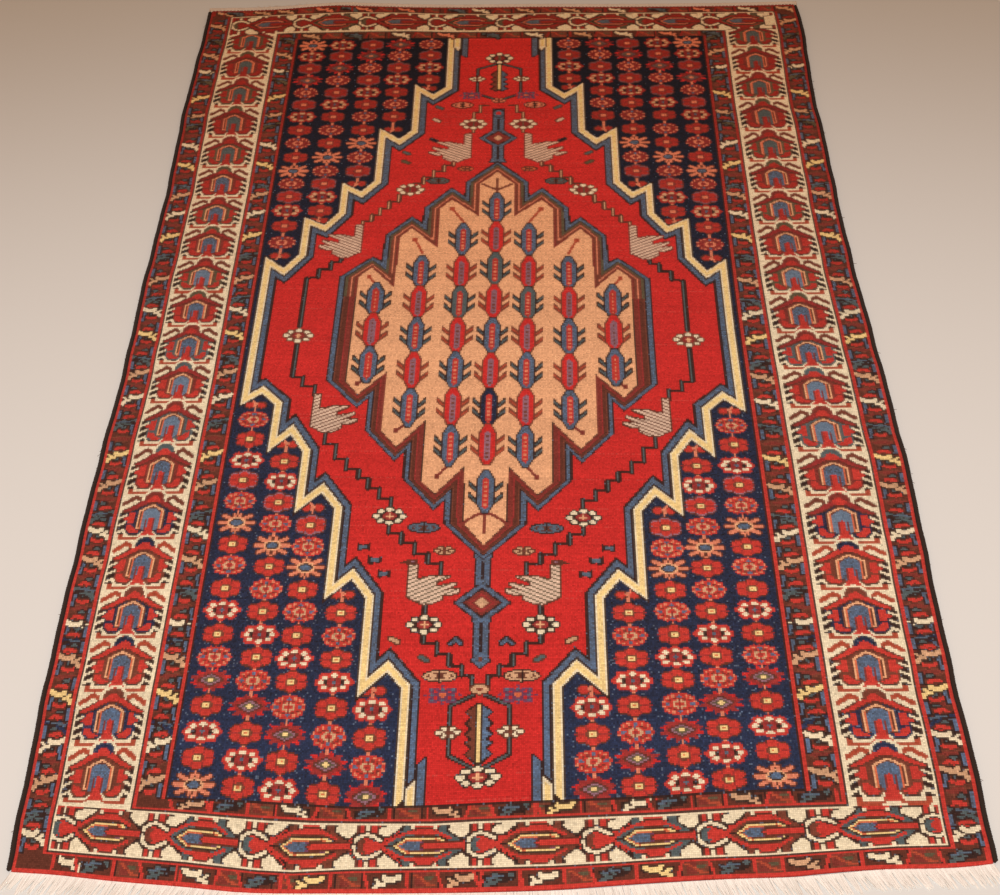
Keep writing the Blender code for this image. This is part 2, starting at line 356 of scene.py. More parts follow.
@dataclass
class Medallion:
    """The stepped camel medallion with its striped edge, and the tulips on it."""

    # Right half of the outer and the inner edge of its stripes, point for point
    outer: tuple = (
        (0, 465), (62, 402), (64, 362), (89, 385), (140, 325), (143, 283), (162, 301), (211, 246),
        (213, 177), (230, 187), (288, 132), (288, 80), (288, -127), (228, -191), (211, -168), (211, -238),
        (155, -305), (139, -283), (139, -340), (84.5, -404), (67, -385), (67, -430), (0, -500),
    )
    inner: tuple = (
        (0, 431), (34, 395), (34, 300), (87, 348), (109, 322), (110, 212), (161, 265), (182, 240),
        (184, 103), (229, 156), (253, 130), (253, 80), (253, -128), (229, -158), (181, -104), (181, -240),
        (154, -272), (107, -214), (107, -344), (83, -369), (36, -311), (33, -428), (0, -470),
    )
    # Stripes from the outside in: (wool, share of the way from the inner to the outer edge)
    far_stripes: tuple = (
        (INK, 1.0), (BLUE, 0.90), (INK, 0.68), (OLIVE, 0.62), (BROWN, 0.48),
        (CORAL, 0.33), (BROWN, 0.25), (MAROON, 0.12), (CAMEL, 0.0)
    )
    near_stripes: tuple = (
        (INK, 1.0), (BLUE, 0.90), (INK, 0.68), (BROWN, 0.62), (DARK, 0.54),
        (WINE, 0.36), (MAROON, 0.28), (INK, 0.06), (CAMEL, 0.0)
    )
    # Columns of tulips: half distance from the middle, and place along of each
    tulips: tuple = (
        (0, (328, 245, 160, 75, -11, -97, -180, -262, -360)), (63, (240, 150, 70, -11, -96, -180, -265)),
        (137, (150, 70, -12, -97, -182)), (217, (76, -2, -85)),
    )
    # Every second tulip of a column is red, the others are blue apart from these
    other_bodies: dict = field(default_factory=lambda: {(0, 160): SLATE, (63, 70): SLATE, (0, -180): NAVY})

    def tulip(self, pen: Pen, body: Dye) -> None:
        """Work one tulip: a long bud with a dotted stripe, and a pair of thin leaves on each side."""
        cold = body != RED
        rim = INK if cold else BROWN
        leaf = SLATE if cold else RUST
        for half in pen.halves():
            for top in (0, -23):
                blade = half.at(0, top)
                blade.area(rim, [(29, 20), (26, 18), (14, 5), (14, -8), (29, 7)])
                blade.line(leaf, 3.4, [(17, 0), (26.5, 12)])
        pen.area(body, mirrored([(4, 39), (13.5, 19), (13.5, -27), (4, -47)]), rim)
        pen.area(BRIGHT if cold else LILAC, mirrored([(0, 26), (5.6, 20), (5.6, -33), (0, -40)]))
        for place in (14, 5, -4, -13, -22, -31):
            pen.box(CORAL if cold else BROWN, (-2.4, place - 2.0), (2.4, place + 2.0))

    def hooks(self, pen: Pen) -> None:
        """Work the brown marks in the tips of the camel ground, each on a line from its tulip."""
        pen.line(MAROON, 7.5, [(0, -398), (0, -444)])
        pen.line(MAROON, 5.5, [(-34, -427), (-14, -411), (0, -408), (14, -411), (34, -427)])
        pen.line(BROWN, 7.0, [(0, 366), (0, 408)])
        pen.line(BROWN, 5.5, [(-29, 395), (0, 377), (29, 395)])
        for side in pen.sides():
            for x, y, tip_x, tip_y in (
                (63, 284, 86, 322), (137, 196, 153, 234), (219, 112, 232, 131), (63, -308, 82, -335),
                (140, -222, 157, -239), (219, -120, 233, -135),
            ):
                dye = RUST if y > 0 else MAROON
                side.line(dye, 5.2, [(x, y), (tip_x, tip_y)])
                side.box(dye, (tip_x - 4.5, tip_y - 5.2), (tip_x + 4.5, tip_y + 5.2))

    def draw(self, pen: Pen) -> None:
        """Work the stripes from the outside in, the camel ground, its marks and the tulips."""
        for stripes, part in ((self.far_stripes, slice(0, 12)), (self.near_stripes, slice(11, None))):
            for dye, share in stripes:
                half = between(self.inner, self.outer, share)[part]
                pen.area(dye, np.vstack([half, half[::-1] * (-1, 1)]))
        self.hooks(pen)
        for distance, places in self.tulips:
            for k, place in enumerate(places):
                body = RED if k % 2 else self.other_bodies.get((distance, place), BLUE)
                for side in (1, -1) if distance else (1,):
                    self.tulip(pen.at(side * distance, place), body)


@dataclass
class FieldFigures:
    """Birds, rosettes, stems and pendants on the red field."""

    stem_width: float = 2.6
    # Birds nearer than the first have olive stripes; rosettes past the second have a bar, not a cross,
    # and stems past the third are warm
    olive_below: float = -400.0
    bar_above: float = 100.0
    warm_above: float = 200.0
    # Right half's stems: the corners of each
    stems: tuple = (
        ((22, 643), (38, 643), (38, 622), (50, 618), (50, 600)), ((51, 566), (51, 556), (59, 552)),
        ((88, 462), (88, 451), (106, 451), (106, 434), (126, 434), (126, 415), (145, 415), (145, 396),
         (165, 396)),
        ((176, 362), (190, 362), (190, 342), (208, 342), (208, 322), (224, 322), (224, 304), (239, 304),
         (239, 286), (256, 284), (257, 272)),
        ((288, 182), (289, 171), (306, 171), (306, 151), (327, 151), (327, 129), (348, 127), (348, 0)),
        ((348, -42), (348, -120), (328, -120), (328, -141), (305, -141), (305, -162)),
        ((155, -400), (155, -380), (175, -380), (175, -360), (195, -360), (195, -340), (213, -340),
         (213, -322), (235, -322), (235, -300), (256, -300), (256, -270), (277, -268), (277, -246)),
        ((155, -432), (155, -448), (133, -448), (133, -467), (110, -467), (110, -487), (88, -487),
         (88, -505), (66, -505), (66, -530)),
        ((88, -580), (88, -602)),
        ((88, -632), (88, -648), (67, -648), (67, -667), (47, -668), (47, -686), (28, -687),
         (28, -703), (12, -705), (12, -722)),
    )
    # Right half's birds: place, and size across and along; the far ones look the other way
    birds: tuple = (
        (85, 502.5, -1.1, 1.22), (284, 225, -1.03, 1.28), (275, -205.6, 1.05, 1.18), (86, -546, 1.06, 1.03),
    )

    def ring_rosette(self, pen: Pen, rim: Dye = INK) -> None:
        """Work eight cream petals in a dark scalloped ring round a wine-red heart with a cross or a bar."""
        pen.oval(rim, (0, 0), (22, 13))
        for place, radii in (((0, 12.8), (6.0, 3.8)), ((14.5, 9), (5.2, 3.6)), ((21.5, 0), (5.2, 4.4))):
            pen.ovals(CREAM, [place], radii, rim)
        pen.oval(WINE, (0, 0), (11.5, 7.8))
        if pen.y > self.bar_above:
            pen.line(OLIVE, 2.6, [(0, -7), (0, 7)])
        else:
            pen.line(CAMEL, 3.0, [(-4.8, 0), (4.8, 0)])
            pen.line(CAMEL, 3.0, [(0, -4.4), (0, 4.4)])

    def four_petals(self, pen: Pen, petal: Dye) -> None:
        """Work a small flower of four petals round a dark dot."""
        pen.oval(DARK, (0, 0), (13, 8))
        pen.ovals(petal, [(6.5, 4.6), (13, 0)], (4.6, 3.1), DARK)
        pen.oval(BROWN, (0, 0), (3, 2.6))

    def ragged(self, pen: Pen) -> None:
        """Work a purple star flower with red and steel dots and an orange heart."""
        turn = np.arange(16) * math.tau / 16
        reach = np.where(np.arange(16) % 2 == 0, 1.0, 0.72)
        pen.area(PURPLE, np.column_stack([22 * reach * np.cos(turn), 14 * reach * np.sin(turn)]))
        pen.ovals(RED, [(8, 4), (16, 2), (3, 10)], (2.2, 2.0))
        pen.ovals(STEEL, [(12, 0), (0, 7), (12, 7)], (1.9, 1.7))
        pen.oval(ORANGE, (0, 0), (4, 3))

    def bar_oval(self, pen: Pen, ring: Dye) -> None:
        """Work a flat ring with a dark inside, two cells and a dark bar between them."""
        pen.oval(ring, (0, 0), (21, 8.5), INK)
        pen.oval(DARK, (0, 0), (17, 5.6))
        pen.ovals(ring, [(8.5, 0)], (5.0, 3.4))
        pen.line(INK, 3, [(0, -8), (0, 8)])

    def bird(self, pen: Pen) -> None:
        """Work a striped bird whose neck rises at +x of the figure, with a wing and two tail feathers."""
        stripe = OLIVE if pen.y < self.olive_below else DARK
        body = [
            (17, 38), (17, 11), (8, 13), (-8, 17), (-33, 17), (-30, 14), (-12, 6), (-13, -2), (-41, 5),
            (-41, 1), (-23, -9), (-35, -7), (-48, -7), (-47, -12), (-35, -16), (-23, -15), (-23, -23),
            (-9, -31), (5, -33), (28, -21), (28, 38),
        ]
        pen.striped((ROSE, stripe), body, MAROON if pen.y > 0 else DARK)

    def head(self, pen: Pen) -> None:
        """Work the near birds' dark heads, each with a pale eye."""
        pen.area(DARK, [(15, 41), (19, 47), (28, 48), (44, 40), (28, 37)])
        pen.oval(LILAC, (24, 43), (3, 2.2))

    def pole(self, pen: Pen, teeth: Points, first: float, last: float) -> None:
        """Work a gold pole between two places, with a blue comb on its right and a brown one on its left."""
        pen.area(BLUE, teeth, INK)
        pen.area(BROWN, [(-x, y) for x, y in teeth], INK)
        pen.line(GOLD, 3, [(0, first), (0, last)], INK)

    def poles(self, pen: Pen) -> None:
        """Work the poles above the upper pendant and below the lower one, with the arms beside them."""
        far = [(17 if k % 2 == 0 else 7, 700 + 8 * k) for k in range(7)]
        near = [(x, tip - drop) for tip in (-762, -779, -795, -808, -824) for x, drop in ((18, 0), (9, 7))]
        self.pole(pen, [(5, 692), *far, (5, 762)], 698, 792)
        self.pole(pen, [(3, -750), *near, (3, -838)], -750, -835)
        for side in pen.sides():
            for arm in (
                [(8, 786), (46.5, 768), (46.5, 746)], [(46.5, 722), (46.5, 684), (8, 664)],
                [(8, -735), (43, -752), (43, -825), (4, -846)],
            ):
                side.line(SLATE, self.stem_width, arm, INK)

    def pendants(self, pen: Pen) -> None:
        """Work the two diamonds that hang from the medallion's points, and their stems."""
        rim = [(1, 0), (0, 1), (-1, 0), (0, -1)]
        diamonds = (pen.at(0, 537, (37, 33)), pen.at(0, -577, (42, 36)))
        stems = (
            [(15, 462), (9.5, 478), (9.5, 505), (12, 520)], [(12, 555), (9.5, 568), (9.5, 631)],
            [(9.5, -545), (9.5, -505), (14, -486)], [(9.5, -676), (9.5, -620), (14, -602)],
        )
        for edge in (INK, None):
            for stem in stems:
                pen.area(BLUE, mirrored(stem), edge)
            for diamond in diamonds:
                diamond.area(BLUE, rim, edge)
        for low, high in ((470, 510), (562, 600), (-535, -500), (-664, -612)):
            pen.box(INK, (-2.6, low), (2.6, high))
        for diamond in diamonds:
            for dye, share in ((INK, 0.76), (MAROON, 0.66), (WINE, 0.48), (MAROON, 0.38), (TAN, 0.27)):
                diamond.area(dye, share * np.array(rim))
        pen.oval(BLUE, (0, 617), (11, 12), INK)
        pen.oval(RED, (0, 617), (5, 6))
        pen.area(BLUE, [(0, -690), (14, -678), (0, -664), (-14, -678)], INK)
        pen.area(BLUE, [(-9.5, -664), (-9.5, -676), (9.5, -676), (9.5, -664)])
        pen.oval(BROWN, (0, -677), (4, 4))

    def stem(self, pen: Pen, points: Points) -> None:
        """Work a stepped stem, thin where it runs across and broad with a pale middle where it stands."""
        edge, middle = (DARK, TAN) if points[0][1] > self.warm_above else (INK, SLATE)
        pen.line(edge, 2.1 * self.stem_width, points)
        for start, end in zip(points, points[1:]):
            if abs(end[1] - start[1]) > abs(end[0] - start[0]):
                pen.line(edge, 3.4 * self.stem_width, [start, end])
                pen.line(middle, self.stem_width, [start, end])

    def flowers(self, pen: Pen) -> None:
        """Work the rosettes and small flowers of one side."""
        for x, y, rim in (
            (51, 582, BROWN), (169, 378, BROWN), (348, -21, BROWN), (155, -415, INK), (88, -616, INK),
        ):
            self.ring_rosette(pen.at(x, y), rim)
        for x, y, size, petal in (
            (46.5, 734, 0.95, CREAM), (44.5, -791, 1.0, CREAM), (63, 441, 0.8, ORANGE), (62, -481, 0.9, TAN),
        ):
            self.four_petals(pen.at(x, y, (size, size)), petal)
        self.ragged(pen.at(57, 677, (1.2, 1.15)))
        self.ragged(pen.at(55, -735, (1.35, 1.2)))
        for x, y, size, ring in (
            (75, 645, 1.0, CORAL), (60, -704, 1.2, TAN), (116, 404, 1.0, SLATE), (98, -437, 1.2, STEEL),
        ):
            self.bar_oval(pen.at(x, y, (size, 1.0)), ring)
        for x, y in ((193, -475), (173, -500), (157, -525)):
            knot = pen.at(x, y, (1.3, 1.3))
            knot.area(INK, [(-9, 6), (0, 3), (8, 7), (8, -4), (3, -7), (0, -3), (-8, -5)])
            knot.area(STEEL, [(-6, 3), (5, 3), (6, -3), (-4, -2)])
        for x, y, dye in (
            (122, 637, SLATE), (126, 595, ROSE), (130, 531, NAVY), (183, 490, SLATE), (183, 462, OLIVE),
            (85, -675, SLATE), (132, -643, TAN),
        ):
            pen.line(dye, 6, [(x - 5, y - 3), (x + 5, y + 3)], DARK)
        pen.line(BLUE, 5, [(30, -649), (38, -641), (46, -649)], INK)

    def draw(self, pen: Pen) -> None:
        """Work the pendants and poles, then each side's stems, flowers and birds."""
        self.pendants(pen)
        self.poles(pen)
        for side in pen.sides():
            for points in self.stems:
                self.stem(side, points)
            self.flowers(side)
            for x, y, across, along in self.birds:
                self.bird(side.at(x, y, (across, along)))
            self.head(side.at(86, -546, (1.06, 1.03)))
        self.ring_rosette(pen.at(0, 807, (1.05, 1.15)))
        self.ring_rosette(pen.at(0, -857, (1.15, 0.92)))
        pen.oval(TAN, (0, -726), (13, 7.5), DARK)
        pen.oval(MAROON, (0, -726), (5, 3))
        self.four_petals(pen.at(0, 660, (0.8, 0.9)), CORAL)


class Kind(Enum):
    """The kinds of floret, each named as its method, with the letter that stands for it."""

    SUN = "s"
    RED = "r"
    LILAC = "l"
    RING = "o"
    DOTTED = "d"
    STAR = "x"


@dataclass
class Florets:
    """Linked florets in rows and columns on the navy corners."""

    # Each end's florets: columns from the border inwards (half distance, number, place of the half
    # floret), places along, the kinds' letters down the first column (each further column starts one on),
    # and how much nearer the border each further column's florets are
    ends: tuple = (
        (
            ((405, 16, 187), (341, 14, 287), (276, 11, 396), (215, 7, 566), (149, 4, 703)),
            (858, 818, 776, 734, 691, 650, 609, 565, 522, 477, 434, 395, 356, 315, 271, 224),
            "solxdlordrsdlord",
            0.0,
        ),
        (
            ((404, 17, -186), (340, 15, -271), (282, 12, -400), (218, 8, -563), (158, 4, -728)),
            (-873, -832, -791, -749, -708, -670, -631, -590, -551, -510, -471, -430, -388, -346, -305,
             -261, -218),
            "srorxdrordrsdlord",
            1.8,
        ),
    )

    def sun(self, pen: Pen) -> None:
        """Work ten coral rays round a blue heart in a camel ring."""
        for width, dye in ((10, DARK), (6.2, CORAL)):
            for quarter in pen.quarters():
                quarter.line(dye, width, [(9, 6.5), (21.5, 13)])
                quarter.line(dye, width - 1, [(4, 6), (4.6, 14.5)])
                quarter.line(dye, width, [(12, 0), (27, 0)])
        pen.oval(CORAL if pen.y > 0 else CAMEL, (0, 0), (14.5, 10))
        pen.oval(INK, (0, 0), (11, 7.6))
        pen.oval(BLUE, (0, 0), (8.4, 5.4))

    def red(self, pen: Pen, rim: Dye = DARK) -> None:
        """Work six red lobes, darker between them, round a thin ring and a square heart."""
        pen.ovals(rim, [(0, 10.5), (12.8, 6)], (10.8, 8.8))
        pen.ovals(BRIGHT, [(0, 10.5)], (8.4, 7.0))
        pen.ovals(BRIGHT, [(13.2, 5.8)], (9.6, 6.2))
        for quarter in pen.quarters():
            quarter.line(WINE, 2.6, [(12, 0), (24, 0)])
            quarter.line(WINE, 2.6, [(6.5, 6.5), (9.5, 12.5)])
        ring, heart = (MAROON, CORAL) if pen.y > 0 else (BROWN, GOLD)
        pen.oval(ring, (0, 0), (9.6, 7.2))
        pen.box(heart, (-5.2, -3.9), (5.2, 3.9))
        pen.box(ORANGE, (-1.6, -1.4), (1.6, 1.4))

    def lilac(self, pen: Pen) -> None:
        """Work the red floret with a lilac edge."""
        pen.ovals(DARK, [(0, 10.5), (12, 6)], (13, 11))
        self.red(pen, LILAC)

    def ring(self, pen: Pen) -> None:
        """Work eight cream petals on a scalloped red oval, with a wine-red middle and a steel heart."""
        pen.oval(BRIGHT, (0, 0), (27, 16))
        pen.ovals(BRIGHT, [(0, 13.5), (15.5, 11), (22, 0)], (8.2, 5.6))
        petal = TAN if pen.y > 0 else CREAM
        pen.oval(MAROON, (0, 0), (15, 9.8))
        pen.oval(WINE, (0, 0), (11, 7.6))
        pen.ovals(INK, [(12.8, 0)], (3.2, 4.8))
        for place, radii in (((0, 11.6), (5.6, 3.2)), ((14.5, 8.2), (5.0, 3.2)), ((19.8, 0), (4.4, 3.9))):
            pen.ovals(petal, [place], radii)
        pen.line(DARK, 2.6, [(0, -7), (0, 7)])
        pen.oval(STEEL, (0, 0), (3.2, 3.0))

    def dotted(self, pen: Pen) -> None:
        """Work a scalloped red oval with coral, maroon and blue dots and a pale ring in the middle."""
        red, pale = (WINE, CORAL) if pen.y > 0 else (BRIGHT, TAN)
        pen.oval(red, (0, 0), (24, 15))
        pen.ovals(red, [(0, 13), (15.5, 10), (20, 0), (8, 13)], (6.4, 4.6))
        pen.ovals(MAROON, [(7, 8.6), (14, 6.2)], (2.7, 2.2))
        pen.ovals(CORAL, [(9.5, 13), (16.5, 10), (22.5, 4.5)], (2.3, 2.0))
        pen.ovals(BLUE, [(0, 11.5)], (3.3, 3.0))
        if pen.y < 0:
            pen.ovals(BLUE, [(17.5, 0)], (3.9, 2.8))
        pen.oval(pale, (0, 0), (10.5, 7.4))
        pen.line(MAROON, 2.6, [(0, -8), (0, 8)])
        pen.oval(red, (0, 0), (6, 4.2))
        pen.oval(WINE, (0, 0), (3, 2.2))

    def star(self, pen: Pen) -> None:
        """Work a ragged wine-red star with a lilac diamond in it and a gold heart."""
        for k in range(12):
            turn = math.tau * (k + 0.5) / 12
            x, y = math.cos(turn), math.sin(turn)
            near, far = (18 * x - 6 * y, 12 * y + 6 * x), (18 * x + 6 * y, 12 * y - 6 * x)
            pen.area(RED if k % 2 else WINE, [(33 * x, 21 * y), near, far])
        pen.oval(WINE, (0, 0), (23, 14))
        pen.area(LILAC, [(17, 0), (0, 9.5), (-17, 0), (0, -9.5)], DARK)
        pen.area(OLIVE, [(12.5, 0), (0, 6.5), (-12.5, 0), (0, -6.5)])
        pen.oval(GOLD if pen.y < 0 else CORAL, (0, 0), (4.5, 3.4))

    def half_floret(self, pen: Pen) -> None:
        """Work the half floret that ends a column against the band."""
        for half in pen.halves():
            half.oval(BRIGHT, (10, 0), (7.5, 6.5), DARK)
        pen.oval(CORAL, (0, 2), (4, 4))
        pen.line(CORAL, 3.6, [(0, -10), (2, 2), (5, 10)])

    def column(self, pen: Pen, half: float, rows: list, last: float, kinds: str) -> None:
        """Work one column of florets from the border towards the middle, with its links.

        Args:
            pen: the side's pen.
            half: the column's distance from the middle.
            rows: place along of each floret.
            last: place along of the half floret at the end.
            kinds: letter of each floret's kind.
        """
        outwards = math.copysign(1, last)
        pen.line(CORAL, 4.5, [(half, rows[0] + outwards * 30), (half, last)])
        for y, letter in zip(rows, kinds):
            getattr(self, Kind(letter).name.lower())(pen.at(half, y))
        self.half_floret(pen.at(half, last, (1, -outwards)))

    def draw(self, pen: Pen) -> None:
        """Work the columns of both ends on both sides."""
        for side in pen.sides():
            for columns, rows, kinds, step in self.ends:
                for k, (half, count, last) in enumerate(columns):
                    places = [row - step * k for row in rows[:count]]
                    self.column(side, half, places, last, kinds[k:])


@dataclass
class SideBorder:
    """The cream borders down the long sides, with a stack of domed palmettes."""

    middle: float = 547.5
    depth: float = 90.0
    # Where each palmette's cap ends, from the far end to the near end; the last is where the stack ends
    left: tuple = (
        932, 840, 746.5, 649.5, 548, 451, 358, 272, 183, 94, 7, -85, -175, -269, -367.5, -457, -547.5,
        -634, -720.5, -809, -900,
    )
    right: tuple = (
        932, 842, 749.5, 659, 559, 464, 374, 283, 188, 95, 0, -88, -176, -272, -364, -461, -550, -639,
        -729, -819, -908,
    )
    # Numbers of the palmettes whose blue heart is pale, and how many have a grey one, from the far end
    pale: tuple = (8, 11, 12, 14)
    grey: int = 5
    # Where maroon gives way to brown, olive to slate and slate to navy
    brown_from: float = -400.0
    slate_from: float = 60.0
    navy_from: float = -300.0

    def shoulders(self, pen: Pen, dome: Dye) -> None:
        """Work one half of a palmette's ground: base, dome, patches, comb and bracket."""
        base = [
            (0, -79), (8, -81), (13, -87), (20, -90), (37, -90), (37, -83), (44, -83), (44, -95.5),
            (17, -95.5), (9, -92), (0, -91),
        ]
        outline = [
            (0, -19), (12, -22), (24, -30), (38, -38), (43, -41), (40, -48), (36, -82), (12, -84), (0, -84),
        ]
        patch = [(25, -41), (34, -42), (34, -48), (41, -53), (41, -56), (34, -59), (34, -63), (25, -62)]
        pen.area(RUST, base)
        pen.area(INK, [(20, -36), (47, -42), (51, -48), (51, -84), (37, -85), (28, -84)])
        pen.area(dome, outline, INK)
        pen.area(BRIGHT, patch)
        pen.area(BRIGHT, [(34, -66), (34, -76), (27, -82), (17, -82), (13, -78), (22, -74), (26, -67)])
        for low, high in ((-53, -47), (-67, -61), (-81, -75)):
            pen.line(CREAM, 3.9, [(50, low - 1), (38, high)])
        pen.line(CREAM, 4.2, [(37, -79), (33, -86), (27, -88), (14, -88), (8, -81)])

    def house(self, pen: Pen, heart: Dye, wall: Dye) -> None:
        """Work the crenellated house in the dome: two walls and a roof round a blue heart."""
        pen.area(DARK, mirrored([(0, -21), (12, -32), (20, -38), (21, -74), (0, -78)]))
        pen.area(heart, mirrored([(0, -33), (7, -35), (13, -42), (13, -73), (8, -77), (0, -77)]))
        for half in pen.halves():
            half.line(wall, 3.0, [(18, -39), (18, -54), (18.5, -62), (17.5, -72)])
            half.line(ORANGE, 2.7, [(14.8, -39), (15, -73)])
            half.line(wall, 3.4, [(0, -28), (4, -30), (9, -33), (13, -36), (16, -38)])
            half.line(MAROON, 2.6, [(5.5, -55), (6, -76)])
        pen.area(BRIGHT, mirrored([(0, -52), (3.4, -54), (4.4, -74), (9, -82), (12, -88), (0, -91)]))

    def cap(self, pen: Pen, cap: Dye, red: Dye) -> None:
        """Work a palmette's top: the red roof over the dome, the bent bars beside it and the dark cap."""
        roof = [
            (0, -14), (9, -16), (17, -18), (26, -27), (38, -35), (45, -39), (40, -41), (28, -36), (16, -28),
            (8, -23), (0, -21),
        ]
        for half in pen.halves():
            half.line(BROWN if red == WINE else RUST, 8.0, [(46, -25), (29, -11.5), (17, -19)])
            half.area(CREAM, [(47, -33), (29, -18), (23, -19), (25, -24), (38, -32), (47, -39)])
            half.area(red, roof, DARK)
        pen.line(CREAM, 4.0, [(-18, -18), (-17, -8), (-9, 1), (0, 3), (9, 1), (17, -8), (18, -18)])
        pen.area(cap, mirrored([(0, 0.5), (7, -1), (12, -5), (14.5, -10), (14, -17), (8, -18), (0, -14)]))
        pen.area(BRIGHT, mirrored([(0, -8), (5, -10), (9, -15), (10, -21), (0, -22)]))

    def draw(self, pen: Pen) -> None:
        """Work both sides from the far end, domes and caps taking turns in a warm and a cold wool."""
        for side, places in zip(pen.sides(), (self.right, self.left)):
            side.box(CREAM, (491, -917), (600, 909))
            for k, (place, following) in enumerate(zip(places, places[1:])):
                far = place > self.brown_from
                warm, red = (MAROON, WINE) if far else (BROWN, BRIGHT)
                cold = OLIVE if place > self.slate_from else SLATE if place > self.navy_from else NAVY
                heart = SLATE if k < self.grey else SKY if k in self.pale else BLUE
                wall = CORAL if k < self.grey else CAMEL
                palmette = side.at(self.middle, place, (1.07, (place - following) / self.depth))
                for half in palmette.halves():
                    self.shoulders(half, warm if k % 2 else cold)
                self.house(palmette, heart, wall)
                self.cap(palmette, cold if k % 2 else warm, red)


@dataclass
class EndBorder:
    """The red and cream borders across the ends, with palmettes that point to the left."""

    # Where the cream bars stand between the palmettes
    near: tuple = (-588, -449, -309, -151, 6, 158, 309, 452, 593)
    far: tuple = (-579, -437, -292, -140, 10, 171, 318, 461, 606)
    near_middle: float = -946.5
    far_middle: float = 939.5
    # Drawn distance between two bars, and from a bar to the palmette's own origin
    pitch: float = 148.0
    reach: float = 66.0

    def palmette(self, pen: Pen, dome: Dye, rim: Dye, inside: Dye, heart: Dye) -> None:
        """Work one palmette: a horned dome with a bright outline and a blue heart, stem to the right."""
        horned = [
            (-46, 0), (-46, 1), (-33, 10), (-21, 20), (-19, 27), (-15, 30.5), (-11, 30), (-9, 22), (0, 20),
            (21, 20), (27, 22), (29, 30), (38, 30), (38, 21), (51, 11), (61, 3), (61, 0),
        ]
        for half in pen.halves(False):
            half.area(CREAM, [(38, 22), (43, 30), (67, 31), (67, 20), (61, 14), (57, 11), (47, 17)], INK)
            half.area(dome, horned, INK)
            half.box(CREAM, (-8.5, 26), (-4, 31))
            half.box(CREAM, (20, 25), (26, 31))
            half.area(BRIGHT, [(-3, 18), (-3, 24), (0, 27), (18, 27), (20, 24), (20, 18)], DARK)
        for half in pen.halves(False):
            half.line(BRIGHT, 4.2, [(-46, 1), (-27, 14), (-15, 19.5), (26, 19.5), (42, 11)])
        outline = [(-31, 0), (-14, 12.6), (26, 13.4), (38, 7), (38, -6), (26, -12), (-14, -13)]
        pen.area(rim, outline, INK)
        lining = [(-27.5, 0), (-13, 10.2), (25, 11), (35.5, 5), (35.5, -4), (25, -9.8), (-13, -10.6)]
        pen.area(inside, lining)
        pen.area(DARK, [(-25, 0), (-12, 8), (24, 8.5), (35, 4), (35, -4), (24, -8), (-12, -8.5)])
        pen.area(heart, [(-24, 0), (-13, 7), (4, 7.5), (4, -7.5), (-13, -7.5)])
        for half in pen.halves(False):
            half.line(PURPLE, 3, [(4, 6), (29, 6.4)])
        pen.area(BRIGHT, [(5, 0), (9, 3.2), (58, 4.6), (66, 8), (66, -8), (58, -4.6), (9, -3.2)], DARK)

    def bracket(self, pen: Pen, cap: Dye) -> None:
        """Work the cream bracket between two palmettes, with its bar, leaves and small red squares."""
        pen.area(CREAM, [(15, 21), (20, 29), (48, 32), (44, 26), (28, 14), (22, 15), (16, 19)], INK)
        pen.area(
            CREAM,
            [(14, -26), (15, -20), (21, -15), (24, -12), (29, -15), (45, -28), (43, -32), (21, -32)],
            INK,
        )
        for half in pen.halves(False):
            half.box(DARK, (-14, 13), (16, 32))
            half.box(BRIGHT, (-11, 19), (-6, 30))
            half.box(BRIGHT, (5.5, 19), (13, 30))
            half.line(CREAM, 4.4, [(0, 16), (0, 34)])
            half.line(CREAM, 4.6, [(-17, 0), (-16.5, 9), (-8, 15.5), (0, 17), (6, 15.5), (18, 9)], INK)
        pen.area(BRIGHT, [(-6, 7), (0, 11), (24, 3), (24, -3), (0, -11), (-6, -7)])
        hook = [(-13, 0), (-12, 8), (-3, 11), (-1, 8), (-5, 4), (-5, -4), (-1, -8), (-3, -11), (-12, -8)]
        pen.area(cap, hook)

    def row(self, pen: Pen, bars: tuple, domes: tuple[Dye, Dye], wools: tuple[Dye, Dye, Dye]) -> None:
        """Work one border: the palmettes between the bars first, then the brackets on the bars."""
        for k, (bar, following) in enumerate(zip(bars, bars[1:])):
            size = (following - bar) / self.pitch
            self.palmette(pen.at(bar + self.reach * size, 0, (size, 1)), domes[k % 2], *wools)
        for k, bar in enumerate(bars):
            self.bracket(pen.at(bar, 0), domes[1 - k % 2])

    def draw(self, pen: Pen) -> None:
        """Work the near and the far border on their red grounds."""
        pen.box(BRIGHT, (-602, -978), (602, -915))
        near_wools = (GOLD, ORANGE, BLUE)
        self.row(pen.at(0, self.near_middle, (1, 0.97)), self.near, (BROWN, SLATE), near_wools)
        pen.box(BRIGHT, (-602, 907), (602, 972))
        far_wools = (CORAL, MAROON, STEEL)
        self.row(pen.at(0, self.far_middle), self.far, (MAROON, OLIVE), far_wools)
        pen.area(CREAM, [(579, 921), (600, 921), (600, 960), (579, 955)], INK)


# The wools of the guards' leaves, by the letters of their rows
LEAF_WOOLS = {"t": TAN, "o": OLIVE, "c": CREAM, "g": GOLD, "s": SLATE, "n": NAVY, "r": CORAL}


